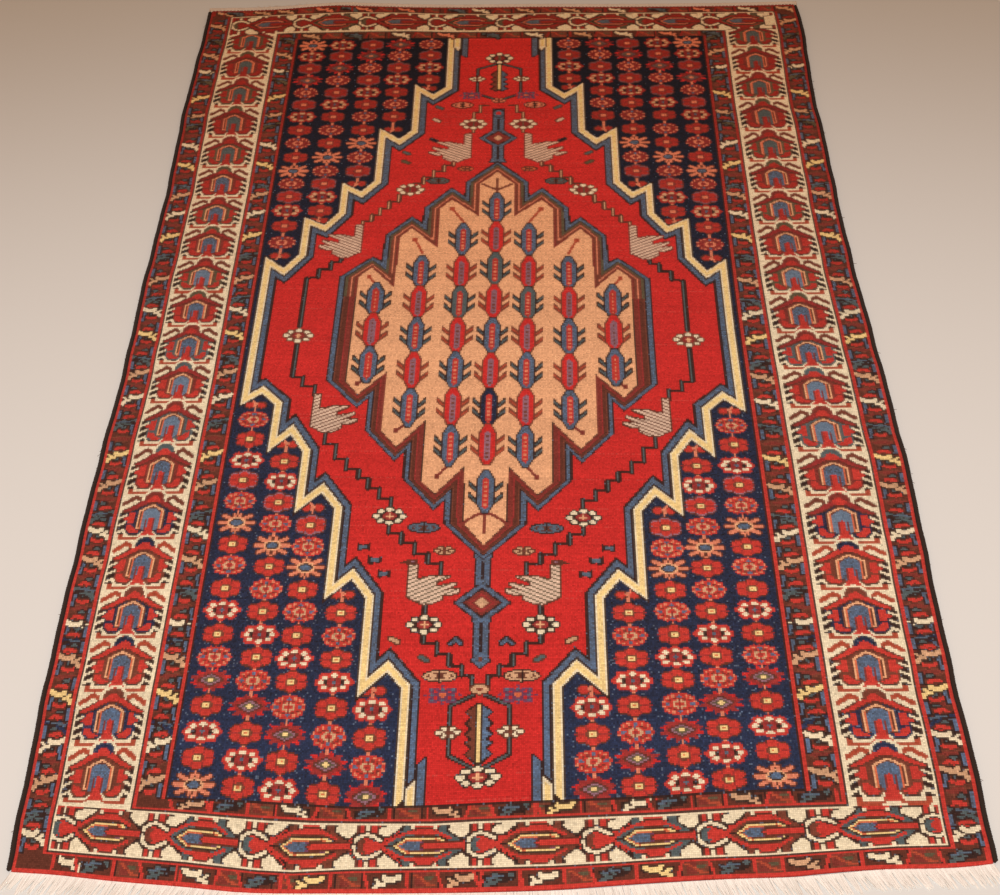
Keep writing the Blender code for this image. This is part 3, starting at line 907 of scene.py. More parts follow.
@dataclass
class Guards:
    """The narrow dark borders with a running leaf, inside and outside the palmette border."""

    inner: float = 466.25
    outer: float = 628.75
    # Rows of leaves: a letter for each one's wool, and its place. A capital's tail points out from the
    # middle on a side, and lies to the left on an end.
    leaves: tuple = (
        "totcoGTOcgsTCGSTScgsTCSGTSctscntgnCT",
        (939, 882, 828, 769, 738, 680, 617, 585, 520, 457, 390, 365, 310, 247, 190, 128, 75, 45, -15,
         -75, -108, -166, -222, -290, -350, -412, -443, -498, -554, -613, -643, -670, -729, -780, -808,
         -866),
    )
    corner_leaves: tuple = ("Sc", (-925, -955))
    near_outer: tuple = (
        "cSScSGCTSCSgStcS",
        (-566, -528, -430, -382, -292, -225, -120, -20, 30, 88, 180, 235, 335, 425, 523, 620),
    )
    near_inner: tuple = (
        "TScStSGCStS",
        (-402, -350, -255, -150, -42, 50, 112, 213, 260, 360, 450),
    )
    far_outer: tuple = (
        "tsttrsrrscttcsrct",
        (-618, -595, -532, -478, -390, -335, -302, -208, -95, -42, 57, 160, 260, 350, 447, 546, 630),
    )
    far_inner: tuple = (
        "tscrsctcrs",
        (-412, -320, -216, -117, -20, 75, 180, 270, 366, 460),
    )
    # The least room between two leaves that takes a brown block
    side_room: float = 45.0
    end_room: float = 60.0

    def blade(self, pen: Pen, dye: Dye) -> None:
        """Work one leaf: a notched blade with a forked tail to the left."""
        blob = [(-8, 7), (-4, 8), (2, 4), (9, 6), (17, 10), (20, 8), (18, 1), (8, -4), (-2, -4), (-7, 0)]
        tail = [
            (-19, 2), (-14, 2), (-8, -3), (-2, -3), (-3, -8), (-11, -9), (-14, -18), (-19, -16), (-19, -8),
            (-14, -5),
        ]
        pen.area(dye, blob, INK)
        pen.area(dye, tail, INK)
        pen.area(dye, blob)
        if dye in (SLATE, NAVY, OLIVE):
            pen.oval(INK, (8, 1), (9, 3.6))
            pen.line(STEEL, 3, [(-16, 0), (-7, 3), (6, 4)])

    def leaf(self, pen: Pen, dye: Dye) -> None:
        """Work one leaf of a side, with red waves above and below it and a blue bar at each end."""
        upper = [(-8, 8), (-9, 14), (-2, 18), (9, 18), (14, 12), (10, 11), (4, 13), (-2, 9)]
        lower = [(-13, -14), (-10, -21), (-2, -24), (9, -20), (13, -13), (9, -13), (2, -17), (-6, -16)]
        pen.area(BRIGHT, upper, DARK)
        pen.oval(SLATE, (-3, 23), (5, 2.6), INK)
        pen.oval(SLATE, (-2, -9), (6, 2.4), INK)
        pen.area(BRIGHT, lower, DARK)
        pen.area(BLUE, [(-19, 9), (-14, 9), (-13, 29), (-18, 29)], INK)
        pen.area(BLUE, [(11.5, -4), (16.5, -4), (18, -26), (13, -26)], INK)
        self.blade(pen, dye)

    def lying_leaf(self, pen: Pen, dye: Dye) -> None:
        """Work one leaf of an end, with an upright and a slanting red tick beside it."""
        self.blade(pen, dye)
        pen.line(BRIGHT, 4.6, [(27, -9), (27, 10)])
        pen.line(BRIGHT, 4.6, [(-27, -9), (-32, 9)])

    def row(self, leaves: tuple) -> list[tuple[float, Dye, int]]:
        """Place, wool and lean (1 or -1) of each leaf in a row."""
        letters, places = leaves
        return [(y, LEAF_WOOLS[at.lower()], 1 if at.isupper() else -1) for at, y in zip(letters, places)]

    def side(self, pen: Pen, middle: float, leaves: list[tuple[float, Dye, int]]) -> None:
        """Work both long sides of one guard, with brown blocks between the leaves."""
        for half in pen.sides():
            for (upper, *_), (lower, *_) in zip(leaves, leaves[1:]):
                if upper - lower > self.side_room:
                    half.oval(BROWN, (middle, (upper + lower) / 2 - 2), (17, 8))
                    half.oval(MAROON, (middle, (upper + lower) / 2 - 2), (15, 4))
            for place, dye, lean in leaves:
                self.leaf(half.at(middle, place - 1.5, (-0.96 * lean, 0.97)), dye)

    def end(self, pen: Pen, middle: float, height: float, leaves: list[tuple[float, Dye, int]]) -> None:
        """Work one guard across an end, with a brown block wherever two leaves leave room."""
        for (left, *_), (right, *_) in zip(leaves, leaves[1:]):
            if right - left > self.end_room:
                block = pen.at((left + right) / 2, middle, (1, height))
                block.box(BROWN, (-17, -11), (17, 11), INK)
                block.box(MAROON, (-13, -8), (2, 11))
                block.oval(OLIVE, (6, 3), (7, 3))
                block.line(RUST, 3.4, [(-14, 8), (-6, 4), (4, -6), (15, -8)])
        for place, dye, lean in leaves:
            self.lying_leaf(pen.at(place, middle, (lean, height)), dye)

    def draw(self, pen: Pen) -> None:
        """Work the inner and the outer guard round the rug."""
        leaves = self.row(self.leaves)
        self.side(pen, self.inner, leaves[1:])
        self.side(pen, self.outer, leaves + self.row(self.corner_leaves))
        for middle, height, places in (
            (-994, 0.88, self.near_outer), (986.5, 0.84, self.far_outer), (-901.5, 0.60, self.near_inner),
            (892, 0.80, self.far_inner),
        ):
            self.end(pen, middle, height, self.row(places))


@dataclass
class Design:
    """The rug's whole design, drawn on its chart."""

    chart: KnotChart = field(default_factory=KnotChart)
    # Nested oblongs (half width, near, far) of the outer and the inner guard with the lines beside them,
    # and the wools between each two; the dark one is the guard's ground
    oblongs: tuple = (
        ((652, -1010, 1000), (648, -1004.5, 996), (610, -984, 976), (605.5, -981, 976),
         (603.5, -979, 974), (600, -976.5, 970.5)),
        ((495, -916.5, 908.5), (491.5, -914, 905), (489, -912, 902), (483.5, -908.5, 902),
         (447, -895, 882.5), (442.5, -895, 882.5), (440, -892, 880)),
    )
    wools: tuple = ((BRIGHT, DARK, BRIGHT, INK, CREAM), (CREAM, INK, BRIGHT, DARK, BRIGHT, INK))

    def rings(self, pen: Pen, ground: bool) -> None:
        """Fill the bands between the oblongs: the grounds of both guards, or else the lines."""
        for oblongs, wools in zip(self.oblongs, self.wools):
            for dye, (half, near, far), (in_half, in_near, in_far) in zip(wools, oblongs, oblongs[1:]):
                if (dye == DARK) != ground:
                    continue
                for side in pen.sides():
                    side.box(dye, (in_half, near), (half, far))
                pen.box(dye, (-half, near), (half, in_near))
                pen.box(dye, (-half, in_far), (half, far))

    def draw(self) -> KnotChart:
        """Work the corners and the field first, then the borders, the guards and their lines."""
        pen = Pen(self.chart)
        lightning = Lightning()
        for side in pen.sides():
            lightning.corner(side)
        Florets().draw(pen)
        for side in pen.sides():
            lightning.band(side)
            lightning.ends(side)
        for figures in (FieldFigures(), Medallion(), SideBorder(), EndBorder()):
            figures.draw(pen)
        self.rings(pen, True)
        Guards().draw(pen)
        self.rings(pen, False)
        return self.chart


def node_points(name: str) -> Array:
    """Points of a CAD node's mesh in metres, one row each."""
    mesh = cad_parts[name].data
    points = np.empty(len(mesh.vertices) * 3, np.float32)
    mesh.vertices.foreach_get("co", points)
    return points.reshape(-1, 3)


@dataclass
class SlabEdges:
    """The uneven edges of the knotted slab, read from its CAD node."""

    # Height of the rim's points, and how near to it they lie
    rim_height: float = 5.8
    tolerance: float = 0.2
    # A side's points lie short of the first place along, an end's points beyond the second
    side_reach: float = 985.0
    end_start: float = 978.0
    left: Array = field(init=False)
    right: Array = field(init=False)
    near: Array = field(init=False)
    far: Array = field(init=False)

    def __post_init__(self) -> None:
        """Sort the rim's points into the four edges, each run in order along its side."""
        points = node_points("rug") / MM
        plan = points[abs(points[:, 2] - self.rim_height) < self.tolerance][:, :2] + PLAN_MIDDLE
        side = abs(plan[:, 1]) < self.side_reach
        self.left = self.run(plan[side & (plan[:, 0] < 0)][:, ::-1])
        self.right = self.run(plan[side & (plan[:, 0] > 0)][:, ::-1])
        self.near = self.run(plan[plan[:, 1] < -self.end_start])
        self.far = self.run(plan[plan[:, 1] > self.end_start])

    def run(self, points: Array) -> Array:
        """Points of one edge in order of their place along it, as a row of places and a row of values."""
        return points[np.argsort(points[:, 0])].T.astype(float)


# How far each guide row of the design is shifted along, as woven: (row, ((across, shift), ...))
GUIDE_ROWS = (
    (-978, ((-610, 12), (-400, -6), (-300, -18), (-250, -21), (-170, -17.4), (0, -16), (100, -14),
            (180, -9.7), (250, -5), (380, -0.7), (440, 3.6), (540, 10.6), (650, 13))),
    (-915, ((-600, 11.3), (-430, -0.5), (-350, -8.2), (-300, -12.8), (-230, -17), (-140, -18.3),
            (-60, -19), (0, -16), (100, -12.9), (250, -7.3), (350, -1.2), (480, 2.8), (650, 5))),
    (-892, ((-500, 3), (-430, 1), (-320, -4), (-250, -9), (-170, -14.4), (-60, -12), (30, -8),
            (170, -3), (250, 0.5), (300, 4.3), (400, 9), (650, 10))),
    *(
        (row, ((-420, tilt), (420, -tilt)))
        for row, tilt in (
            (-735, 0), (-570, 4), (-400, 9), (-200, 12.5), (0, 12), (200, 10), (400, 8), (700, 3),
        )
    ),
    (880, ((-420, 3), (-200, 3), (0, -1), (250, -3), (420, -3))),
    (907, ((-540, 1), (-460, 7), (-300, 9), (-200, 8), (-100, 2), (0, 0.5), (130, 2), (240, 0),
           (380, -3), (480, -5))),
    (973, ((-600, -1.4), (-480, 5.6), (-330, 11.7), (-200, 6.7), (-140, 1.3), (0, -3.8), (140, -1),
           (200, -4.3), (430, -7), (600, -9))),
)
# Where three guide columns of the design lie across: (column, ((place along, across), ...))
GUIDE_COLUMNS = (
    (-437, ((-900, -460), (0, -450), (500, -446), (880, -443))),
    (0, ((-900, -33), (-580, -30), (-360, -26), (-270, -24), (-180, -22), (0, -17), (90, -14),
         (240, -11), (330, -10), (540, -8), (880, -5))),
    (437, ((-900, 415), (0, 418), (400, 425), (880, 432))),
)


@dataclass
class Lie:
    """How the straight design lies on the floor, pulled uneven by the weaving."""

    edges: SlabEdges

    def place(self, across: Array, along: Array) -> tuple[Array, Array]:
        """Plan of a grid of the design's places.

        Along the rug each place takes the shift that runs straight between the guide rows before and
        after it. Across, it lies at the same share between two guide columns as in the design.

        Args:
            across: the grid's columns.
            along: the grid's rows.

        Returns:
            The plan's across and along values, row by row.
        """
        width = across / HALF_WIDTH
        near_across = np.interp(width, (-1, 1), (self.edges.left[1][0], self.edges.right[1][0]))
        far_across = np.interp(width, (-1, 1), (self.edges.left[1][-1], self.edges.right[1][-1]))
        rows = [(NEAR_END, np.interp(near_across, *self.edges.near) - NEAR_END)]
        rows += [(row, np.interp(across, *np.array(table, float).T)) for row, table in GUIDE_ROWS]
        rows += [(FAR_END, np.interp(far_across, *self.edges.far) - FAR_END)]
        at = np.array([row for row, _ in rows])
        shifts = np.array([shift for _, shift in rows])
        below = np.clip(np.searchsorted(at, along) - 1, 0, len(at) - 2)
        share = ((along - at[below]) / (at[below + 1] - at[below]))[:, None]
        y = along[:, None] + shifts[below] * (1 - share) + shifts[below + 1] * share
        columns = [(-HALF_WIDTH, np.interp(y, *self.edges.left))]
        columns += [(column, np.interp(y, *np.array(table, float).T)) for column, table in GUIDE_COLUMNS]
        columns += [(HALF_WIDTH, np.interp(y, *self.edges.right))]
        x = np.zeros_like(y)
        for (first, first_line), (last, last_line) in zip(columns, columns[1:]):
            inside = (across >= first - TINY) & (across <= last + TINY)
            part = (across[inside] - first) / (last - first)
            x[:, inside] = first_line[:, inside] * (1 - part) + last_line[:, inside] * part
        return x, y


def to_frame(x: Array, y: Array, z: Array) -> Array:
    """Places of the plan in the frame, in metres, one row each."""
    return np.stack([x - PLAN_MIDDLE[0], y - PLAN_MIDDLE[1], z], axis=-1).reshape(-1, 3) * MM


def grid_faces(rows: int, columns: int, closed: bool = False) -> Array:
    """Corners of the faces of a grid of points, anticlockwise from the first.

    Args:
        rows: rows of points.
        columns: points in a row.
        closed: whether the last column joins the first.

    Returns:
        Four point numbers for each face.
    """
    number = np.arange(rows * columns).reshape(rows, columns)
    if closed:
        number = np.column_stack([number, number[:, 0]])
    corners = (number[:-1, :-1], number[:-1, 1:], number[1:, 1:], number[1:, :-1])
    return np.stack(corners, axis=-1).reshape(-1, 4)


def make_piece(name: str, points: Array, faces: Array) -> Object:
    """Smooth object of four-cornered faces at the origin.

    Args:
        name: the piece's name.
        points: the places in metres, one row each.
        faces: four point numbers for each face.

    Returns:
        The object, linked to the scene.
    """
    mesh = bpy.data.meshes.new(name)
    mesh.vertices.add(len(points))
    mesh.vertices.foreach_set("co", np.ascontiguousarray(points, np.float32).ravel())
    mesh.loops.add(faces.size)
    mesh.loops.foreach_set("vertex_index", np.ascontiguousarray(faces, np.int32).ravel())
    mesh.polygons.add(len(faces))
    mesh.polygons.foreach_set("loop_start", np.arange(0, faces.size, 4, dtype=np.int32))
    mesh.polygons.foreach_set("use_smooth", np.full(len(faces), True))
    mesh.update(calc_edges=True)
    mesh.validate()
    piece = bpy.data.objects.new(name, mesh)
    bpy.context.scene.collection.objects.link(piece)
    return piece


def set_uv(piece: Object, name: str, corners: Array) -> None:
    """Give a piece a UV map, a pair of values for each face corner."""
    layer = piece.data.uv_layers.new(name=name)
    layer.uv.foreach_set("vector", np.ascontiguousarray(corners, np.float32).ravel())


def set_colour(piece: Object, name: str, faces: Array) -> None:
    """Give a piece a colour attribute from one linear colour for each face."""
    layer = piece.data.color_attributes.new(name, "FLOAT_COLOR", "CORNER")
    corners = np.ones((len(faces), 4, 4), np.float32)
    corners[..., :3] = faces[:, None, :]
    layer.data.foreach_set("color", corners.ravel())


def finish_piece(piece: Object, material: Material) -> Object:
    """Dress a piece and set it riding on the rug's one body."""
    piece.data.materials.append(material)
    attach(piece, "root")
    log.info("%s: %d faces", piece.name, len(piece.data.polygons))
    return piece


class Nodes:
    """A material being built: its nodes are added and joined by short calls."""

    def __init__(self, name: str, roughness: float, sheen: float, sheen_tint: tuple = (1, 1, 1)) -> None:
        """Start from the shader, with its even numbers set on its own sockets."""
        self.material = bpy.data.materials.new(name)
        self.material.use_nodes = True
        self.tree = self.material.node_tree
        self.shader = self.tree.nodes["Principled BSDF"]
        for socket, value in (
            ("Roughness", roughness), ("Sheen Weight", sheen), ("Sheen Roughness", 0.6),
            ("Sheen Tint", (*sheen_tint, 1.0)), ("Specular IOR Level", 0.06),
        ):
            self.shader.inputs[socket].default_value = value

    def add(self, kind: str, links: dict | None = None, **settings) -> Node:
        """Add a node, set its properties, and set or link its inputs.

        Args:
            kind: the node's type name without its prefix.
            links: value or output socket for each input, by name or number.
            settings: properties of the node itself.

        Returns:
            The node.
        """
        node = self.tree.nodes.new("ShaderNode" + kind)
        for key, value in settings.items():
            setattr(node, key, value)
        for key, value in (links or {}).items():
            if isinstance(value, NodeSocket):
                self.tree.links.new(value, node.inputs[key])
            else:
                node.inputs[key].default_value = value
        return node

    def math(self, operation: str, *values) -> NodeSocket:
        """Output of a math node on the given values or sockets."""
        return self.add("Math", dict(enumerate(values)), operation=operation).outputs[0]

    def mix(self, blend: str, factor, first, second) -> NodeSocket:
        """Output of a colour mix."""
        node = self.add("Mix", {0: factor, 6: first, 7: second}, data_type="RGBA", blend_type=blend)
        return node.outputs[2]

    def noise(self, vector, scale: float, detail: float = 2.0) -> NodeSocket:
        """Output of a noise texture on a vector."""
        return self.add("TexNoise", {"Vector": vector, "Scale": scale, "Detail": detail}).outputs["Fac"]

    def spread(self, value, low: float, high: float) -> NodeSocket:
        """A share from 0 to 1 spread between two values."""
        return self.add("MapRange", {"Value": value, "To Min": low, "To Max": high}).outputs[0]

    def finish(self, colour, height, distance: float, strength: float = 1.0) -> Material:
        """Join the colour and the bump to the shader."""
        bump = self.add("Bump", {"Height": height, "Distance": distance, "Strength": strength})
        self.tree.links.new(colour, self.shader.inputs["Base Color"])
        self.tree.links.new(bump.outputs[0], self.shader.inputs["Normal"])
        return self.material


@dataclass(frozen=True)
class PileFinish:
    """Short worn wool: each knot a tuft of its own colour, with fibres and fine lint on it."""

    roughness: float = 0.92
    sheen: float = 0.05
    tuft_depth: float = 0.0009

    def make(self) -> Material:
        """Colour from the knots, with painted shade between tufts and mottled by fibres; bump from both."""
        nodes = Nodes("knotted_pile", self.roughness, self.sheen, (1.0, 0.85, 0.75))
        uv = nodes.add("UVMap", uv_map="knots").outputs[0]
        place = nodes.add("TexCoord").outputs["Object"]
        parts = nodes.add("SeparateXYZ", {0: uv})
        across, along = (
            nodes.math("ABSOLUTE", nodes.math("SINE", nodes.math("MULTIPLY", part, math.pi)))
            for part in list(parts.outputs)[:2]
        )
        tuft = nodes.math("POWER", nodes.math("MULTIPLY", across, along), 0.5)
        fibres = nodes.noise(place, 1900.0, 3.0)
        patches = nodes.noise(place, 34.0, 4.0)
        wool = nodes.add("Attribute", attribute_name="wool").outputs["Color"]
        # Painted shade: the colour darkens between the tufts; fibres and patches mottle it
        shade = nodes.math("MULTIPLY", nodes.spread(tuft, 0.84, 1.05), nodes.spread(fibres, 0.8, 1.2))
        shade = nodes.math("MULTIPLY", shade, nodes.spread(patches, 0.9, 1.1))
        grey = nodes.add("CombineColor", {0: shade, 1: shade, 2: shade}).outputs[0]
        colour = nodes.mix("MULTIPLY", 1.0, wool, grey)
        height = nodes.math("ADD", tuft, nodes.math("MULTIPLY", fibres, 0.9))
        return nodes.finish(colour, height, self.tuft_depth, 0.6)


@dataclass(frozen=True)
class YarnFinish:
    """Twisted or woven yarn: slanting plies, lint, and a stain or two."""

    name: str
    colour: Triple
    dark: Triple
    ply_scale: float
    roughness: float = 0.88
    sheen: float = 0.2

    def make(self) -> Material:
        """Colour between the dark and the light wool by slanting plies and noise; bump from both."""
        nodes = Nodes(self.name, self.roughness, self.sheen)
        place = nodes.add("TexCoord").outputs["Object"]
        turned = nodes.add("Mapping", {"Vector": place, "Rotation": (0.0, 0.0, 0.9)}).outputs[0]
        wave = {"Vector": turned, "Scale": self.ply_scale, "Distortion": 2.5, "Detail": 2.0}
        plies = nodes.add("TexWave", wave).outputs["Fac"]
        lint = nodes.noise(place, 900.0, 4.0)
        stain = nodes.noise(place, 14.0, 3.0)
        share = nodes.math("MULTIPLY", nodes.spread(plies, 0.55, 1.0), nodes.spread(lint, 0.6, 1.25))
        share = nodes.math("MULTIPLY", share, nodes.spread(stain, 0.75, 1.2))
        colour = nodes.mix("MIX", share, (*self.dark, 1.0), (*self.colour, 1.0))
        height = nodes.math("ADD", plies, nodes.math("MULTIPLY", lint, 0.8))
        return nodes.finish(colour, height, 0.0006, 0.7)


@dataclass(frozen=True)
class CottonFinish:
    """Undyed cotton, tinted by the piece's own colours."""

    roughness: float = 0.85
    sheen: float = 0.15

    def make(self) -> Material:
        """Colour from the piece, broken by lint and a fine stain; bump from the lint."""
        nodes = Nodes("cotton_weave", self.roughness, self.sheen)
        place = nodes.add("TexCoord").outputs["Object"]
        thread = nodes.add("Attribute", attribute_name="thread").outputs["Color"]
        lint = nodes.noise(place, 1300.0, 4.0)
        stain = nodes.noise(place, 22.0, 3.0)
        shade = nodes.math("MULTIPLY", nodes.spread(lint, 0.86, 1.08), nodes.spread(stain, 0.88, 1.08))
        yellowed = nodes.math("POWER", shade, 1.2)
        grey = nodes.add("CombineColor", {0: shade, 1: shade, 2: yellowed}).outputs[0]
        return nodes.finish(nodes.mix("MULTIPLY", 1.0, thread, grey), lint, 0.0005, 0.6)


@dataclass
class Pile:
    """The knotted pile: lengthwise strips of one face for each knot."""

    chart: KnotChart
    lie: Lie
    strips: int = 5
    # Brightness: the batches of yarn, their share, the rows', the knots', and its limits
    batches: int = 60
    batch_share: float = 0.05
    row_share: float = 0.035
    jitter: float = 0.10
    levels: Pair = (0.6, 1.5)
    # How much lower dark wool has worn, and the random part of a height
    worn: float = 0.55
    height_jitter: float = 0.12
    rim_drop: float = 1.0
    rim_height: float = 0.8
    # Share of its neighbours' colour in a knot's, at the near end and at the far end
    blend: Pair = (0.12, 0.50)
    # Painted shade: how some wools' brightness changes from the near end to the far end, in four even steps,
    # darkening them towards the far end where the light falls off
    painted_shade_fades: tuple = (
        (NAVY, (1.10, 1.05, 0.65, 0.22)), (BRIGHT, (1.0, 1.0, 0.75, 0.50)), (INK, (1.0, 1.0, 0.9, 0.6)),
        (LILAC, (1.0, 1.0, 0.7, 0.45)), (WINE, (1.05, 1.0, 0.85, 0.70)),
    )
    # Painted light: scale of every wool's red, green and blue up to the middle, and at the far end, cooler
    # near and warmer far as the light falls
    painted_light_tints: tuple = ((0.91, 1.0, 1.0), (1.14, 1.0, 0.86))
    # Faded red and camel knots: chance of a row and of its knots, the share kept and the light gained
    faded_chance: Pair = (0.06, 0.5)
    faded_share: float = 0.94
    faded_gain: tuple = (0.05, 0.028, 0.022)
    # Worn navy and ink knots: chance by place along, the share kept and the light gained
    specks: tuple = ((NEAR_END, -700, -500, FAR_END), (0.05, 0.045, 0.018, 0.004))
    speck_share: float = 0.6
    speck_gain: tuple = (0.07, 0.10, 0.14)
    # Washed-out blue: its middle along, its reach, its strength, the random part and its tint
    wash_middle: float = -800.0
    wash_reach: float = 120.0
    wash_share: float = 0.3
    wash_jitter: float = 0.18
    wash_tint: tuple = (0.5, 0.9, 1.2)
    seed: int = 5

    def colours(self) -> Array:
        """Linear colour of each knot.

        The wool's colour is scaled by its painted shade along the rug, drawn towards the mean of its four
        neighbours' colours, and scaled by the painted light's tint at its place and by a level: 1 plus a
        slow part for the batch of yarn, a part for the row and a random part for the knot. Some rows of red
        are faded, some dark knots are worn, and blue is washed out across a stretch of the near end.

        Returns:
            An array of rows, columns and the three channels.
        """
        chance = np.random.default_rng(self.seed)
        table = np.array([linear(dye.colour) for dye in Dye])
        dyes = self.chart.dyes
        rows, columns = dyes.shape
        colour = table[dyes]
        y = self.chart.along
        # Painted shade: darken these wools towards the far end, where the light falls off
        for dye, scales in self.painted_shade_fades:
            painted_shade_fade = np.interp(y, np.linspace(NEAR_END, FAR_END, len(scales)), scales)
            colour = np.where((dyes == dye)[..., None], colour * painted_shade_fade[:, None, None], colour)
        padded = np.pad(colour, ((1, 1), (1, 1), (0, 0)), mode="edge")
        beside_it = (padded[:-2, 1:-1] + padded[2:, 1:-1] + padded[1:-1, :-2] + padded[1:-1, 2:]) / 4
        blend = np.interp(y, (NEAR_END, FAR_END), self.blend)[:, None, None]
        colour = colour + blend * (beside_it - colour)
        # Painted light: tint every wool cooler at the near end and warmer towards the far end
        painted_light_tint = np.column_stack([np.interp(y, (0, FAR_END), pair) for pair in zip(*self.painted_light_tints)])
        colour = colour * painted_light_tint[:, None, :]
        ends = np.linspace(NEAR_END, FAR_END, self.batches)
        batch = np.interp(y, ends, chance.uniform(-1, 1, self.batches))
        streak = chance.normal(0, 1, rows)
        level = 1 + self.batch_share * batch[:, None] + self.row_share * streak[:, None]
        level = level * (1 + chance.normal(0, self.jitter, (rows, columns)))
        colour = colour * np.clip(level, *self.levels)[..., None]
        row_chance, knot_chance = self.faded_chance
        faded = (chance.random((rows, 1)) < row_chance) & (chance.random((rows, columns)) < knot_chance)
        faded = faded & np.isin(dyes, (RED, CAMEL))
        colour[faded] = colour[faded] * self.faded_share + np.array(self.faded_gain)
        wear = np.interp(y, *self.specks)[:, None]
        specks = np.isin(dyes, (NAVY, INK)) & (chance.random((rows, columns)) < wear)
        colour[specks] = colour[specks] * self.speck_share + np.array(self.speck_gain)
        blue = np.isin(dyes, (NAVY, BLUE))
        wash = np.clip(1 - abs(y - self.wash_middle) / self.wash_reach, 0, 1)[:, None] * self.wash_share
        wash = wash + chance.normal(0, self.wash_jitter, (rows, columns))
        colour[blue] = colour[blue] * (1 + wash[blue, None] * np.array(self.wash_tint))
        return np.clip(colour, 0, 1)

    def heights(self) -> Array:
        """Height of each knot: the pile's, lower where dark wool has worn away, and a random part."""
        chance = np.random.default_rng(self.seed + 1)
        dyes = self.chart.dyes
        worn = np.isin(dyes, (INK, BROWN, DARK, MAROON))
        return PILE_HEIGHT - self.worn * worn + chance.normal(0, self.height_jitter, dyes.shape)

    def corner_heights(self) -> Array:
        """Height of each grid point: the mean of the four knots round it, rounded down at the rim."""
        padded = np.pad(self.heights(), 1, mode="edge")
        z = (padded[:-1, :-1] + padded[1:, :-1] + padded[:-1, 1:] + padded[1:, 1:]) / 4
        for edge in (z[0], z[-1], z[:, 0], z[:, -1]):
            edge -= self.rim_drop
        return z

    def strip(self, number: int, colours: Array, material: Material) -> Object:
        """Build one lengthwise strip, with its edge turned down at the rug's rim.

        Args:
            number: which strip from the left, from 0.
            colours: linear colour of each knot.
            material: the pile's finish.

        Returns:
            The dressed strip.
        """
        rows, columns = self.chart.dyes.shape
        first = columns * number // self.strips
        last = columns * (number + 1) // self.strips
        across = np.linspace(-HALF_WIDTH, HALF_WIDTH, columns + 1)[first : last + 1]
        along = np.linspace(NEAR_END, FAR_END, rows + 1)
        x, y = self.lie.place(across, along)
        z = self.corner_heights()[:, first : last + 1]
        knots = colours[:, first:last]
        row_number = np.arange(rows + 1)
        column_number = np.arange(first, last + 1)
        sides = (int(number == 0), int(number == self.strips - 1))
        pads = ((1, 1), sides)
        x, y, z = (np.pad(part, pads, mode="edge") for part in (x, y, z))
        knots = np.pad(knots, (*pads, (0, 0)), mode="edge")
        row_number = np.pad(row_number, pads[0], mode="edge")
        column_number = np.pad(column_number, pads[1], mode="edge")
        rim = np.zeros(z.shape, bool)
        rim[[0, -1]] = True
        rim[:, 0] |= bool(sides[0])
        rim[:, -1] |= bool(sides[1])
        z = np.where(rim, self.rim_height, z)
        faces = grid_faces(*z.shape)
        piece = make_piece(f"pile_strip_{number + 1}", to_frame(x, y, z), faces)
        set_colour(piece, "wool", knots.reshape(-1, 3))
        grid_u, grid_v = np.meshgrid(column_number, row_number)
        uv = np.column_stack([grid_u.ravel(), grid_v.ravel()]).astype(np.float32)
        set_uv(piece, "knots", uv[faces])
        set_uv(piece, "OFBake", self.bake_map(z.shape, faces))
        return finish_piece(piece, material)

    def bake_map(self, shape: tuple[int, int], faces: Array) -> Array:
        """Map of a strip for baking, folded into three columns side by side in the unit square.

        Args:
            shape: rows and columns of the strip's points.
            faces: four point numbers for each face.

        Returns:
            A pair of values for each corner of each face.
        """
        rows, columns = shape
        folds = 3
        side_margin, end_margin = 0.02, 0.01
        face_row = np.repeat(np.arange(rows - 1), columns - 1)
        fold = face_row * folds // (rows - 1)
        start = (fold * (rows - 1) + folds - 1) // folds
        length = (rows - 1) / folds + 1
        row, column = np.divmod(faces, columns)
        u = (fold[:, None] + side_margin + (1 - 2 * side_margin) * column / (columns - 1)) / folds
        v = end_margin + (1 - 2 * end_margin) * (row - start[:, None]) / length
        return np.stack([u, v], axis=-1)

    def build(self) -> list[Object]:
        """Build and dress every strip."""
        material = PileFinish().make()
        colours = self.colours()
        return [self.strip(number, colours, material) for number in range(self.strips)]


@dataclass
class Foundation:
    """The woven base under the pile: warps and wefts as a thin slab, closed all round."""

    lie: Lie
    top: float = 4.0
    bottom: float = 0.3
    inset: float = 0.6
    columns: int = 60
    rows: int = 90
    # Depth of the weave's wave on the back, and its turn from one row to the next, in radians
    weave: float = 0.15
    wave_turn: float = 2.4

    def build(self) -> Object:
        """Build the slab as one closed grid: across the top and back under, with a cap at each end.

        Each row is a ring of points round the slab's section. A cap's faces join the points of the top
        to those under them.
        """
        across = np.linspace(-HALF_WIDTH + self.inset, HALF_WIDTH - self.inset, self.columns + 1)
        along = np.linspace(NEAR_END + self.inset, FAR_END - self.inset, self.rows + 1)
        x, y = self.lie.place(across, along)
        wave = self.weave * np.sin(np.arange(self.rows + 1) * self.wave_turn)[:, None]
        over = np.full(x.shape, self.top)
        under = np.full(x.shape, self.bottom) + abs(wave)
        ring_x = np.hstack([x, x[:, ::-1]])
        ring_y = np.hstack([y, y[:, ::-1]])
        ring_z = np.hstack([over, under])
        round_it = ring_z.shape[1]
        first = np.arange(self.columns)
        cap = np.stack([first, round_it - 1 - first, round_it - 2 - first, first + 1], axis=-1)
        end_cap = cap[:, ::-1] + round_it * self.rows
        faces = np.vstack([grid_faces(*ring_z.shape, closed=True), cap, end_cap])
        piece = make_piece("foundation", to_frame(ring_x, ring_y, ring_z), faces)
        weave = YarnFinish("woven_back", (0.46, 0.22, 0.16), (0.16, 0.06, 0.05), 160.0)
        return finish_piece(piece, weave.make())


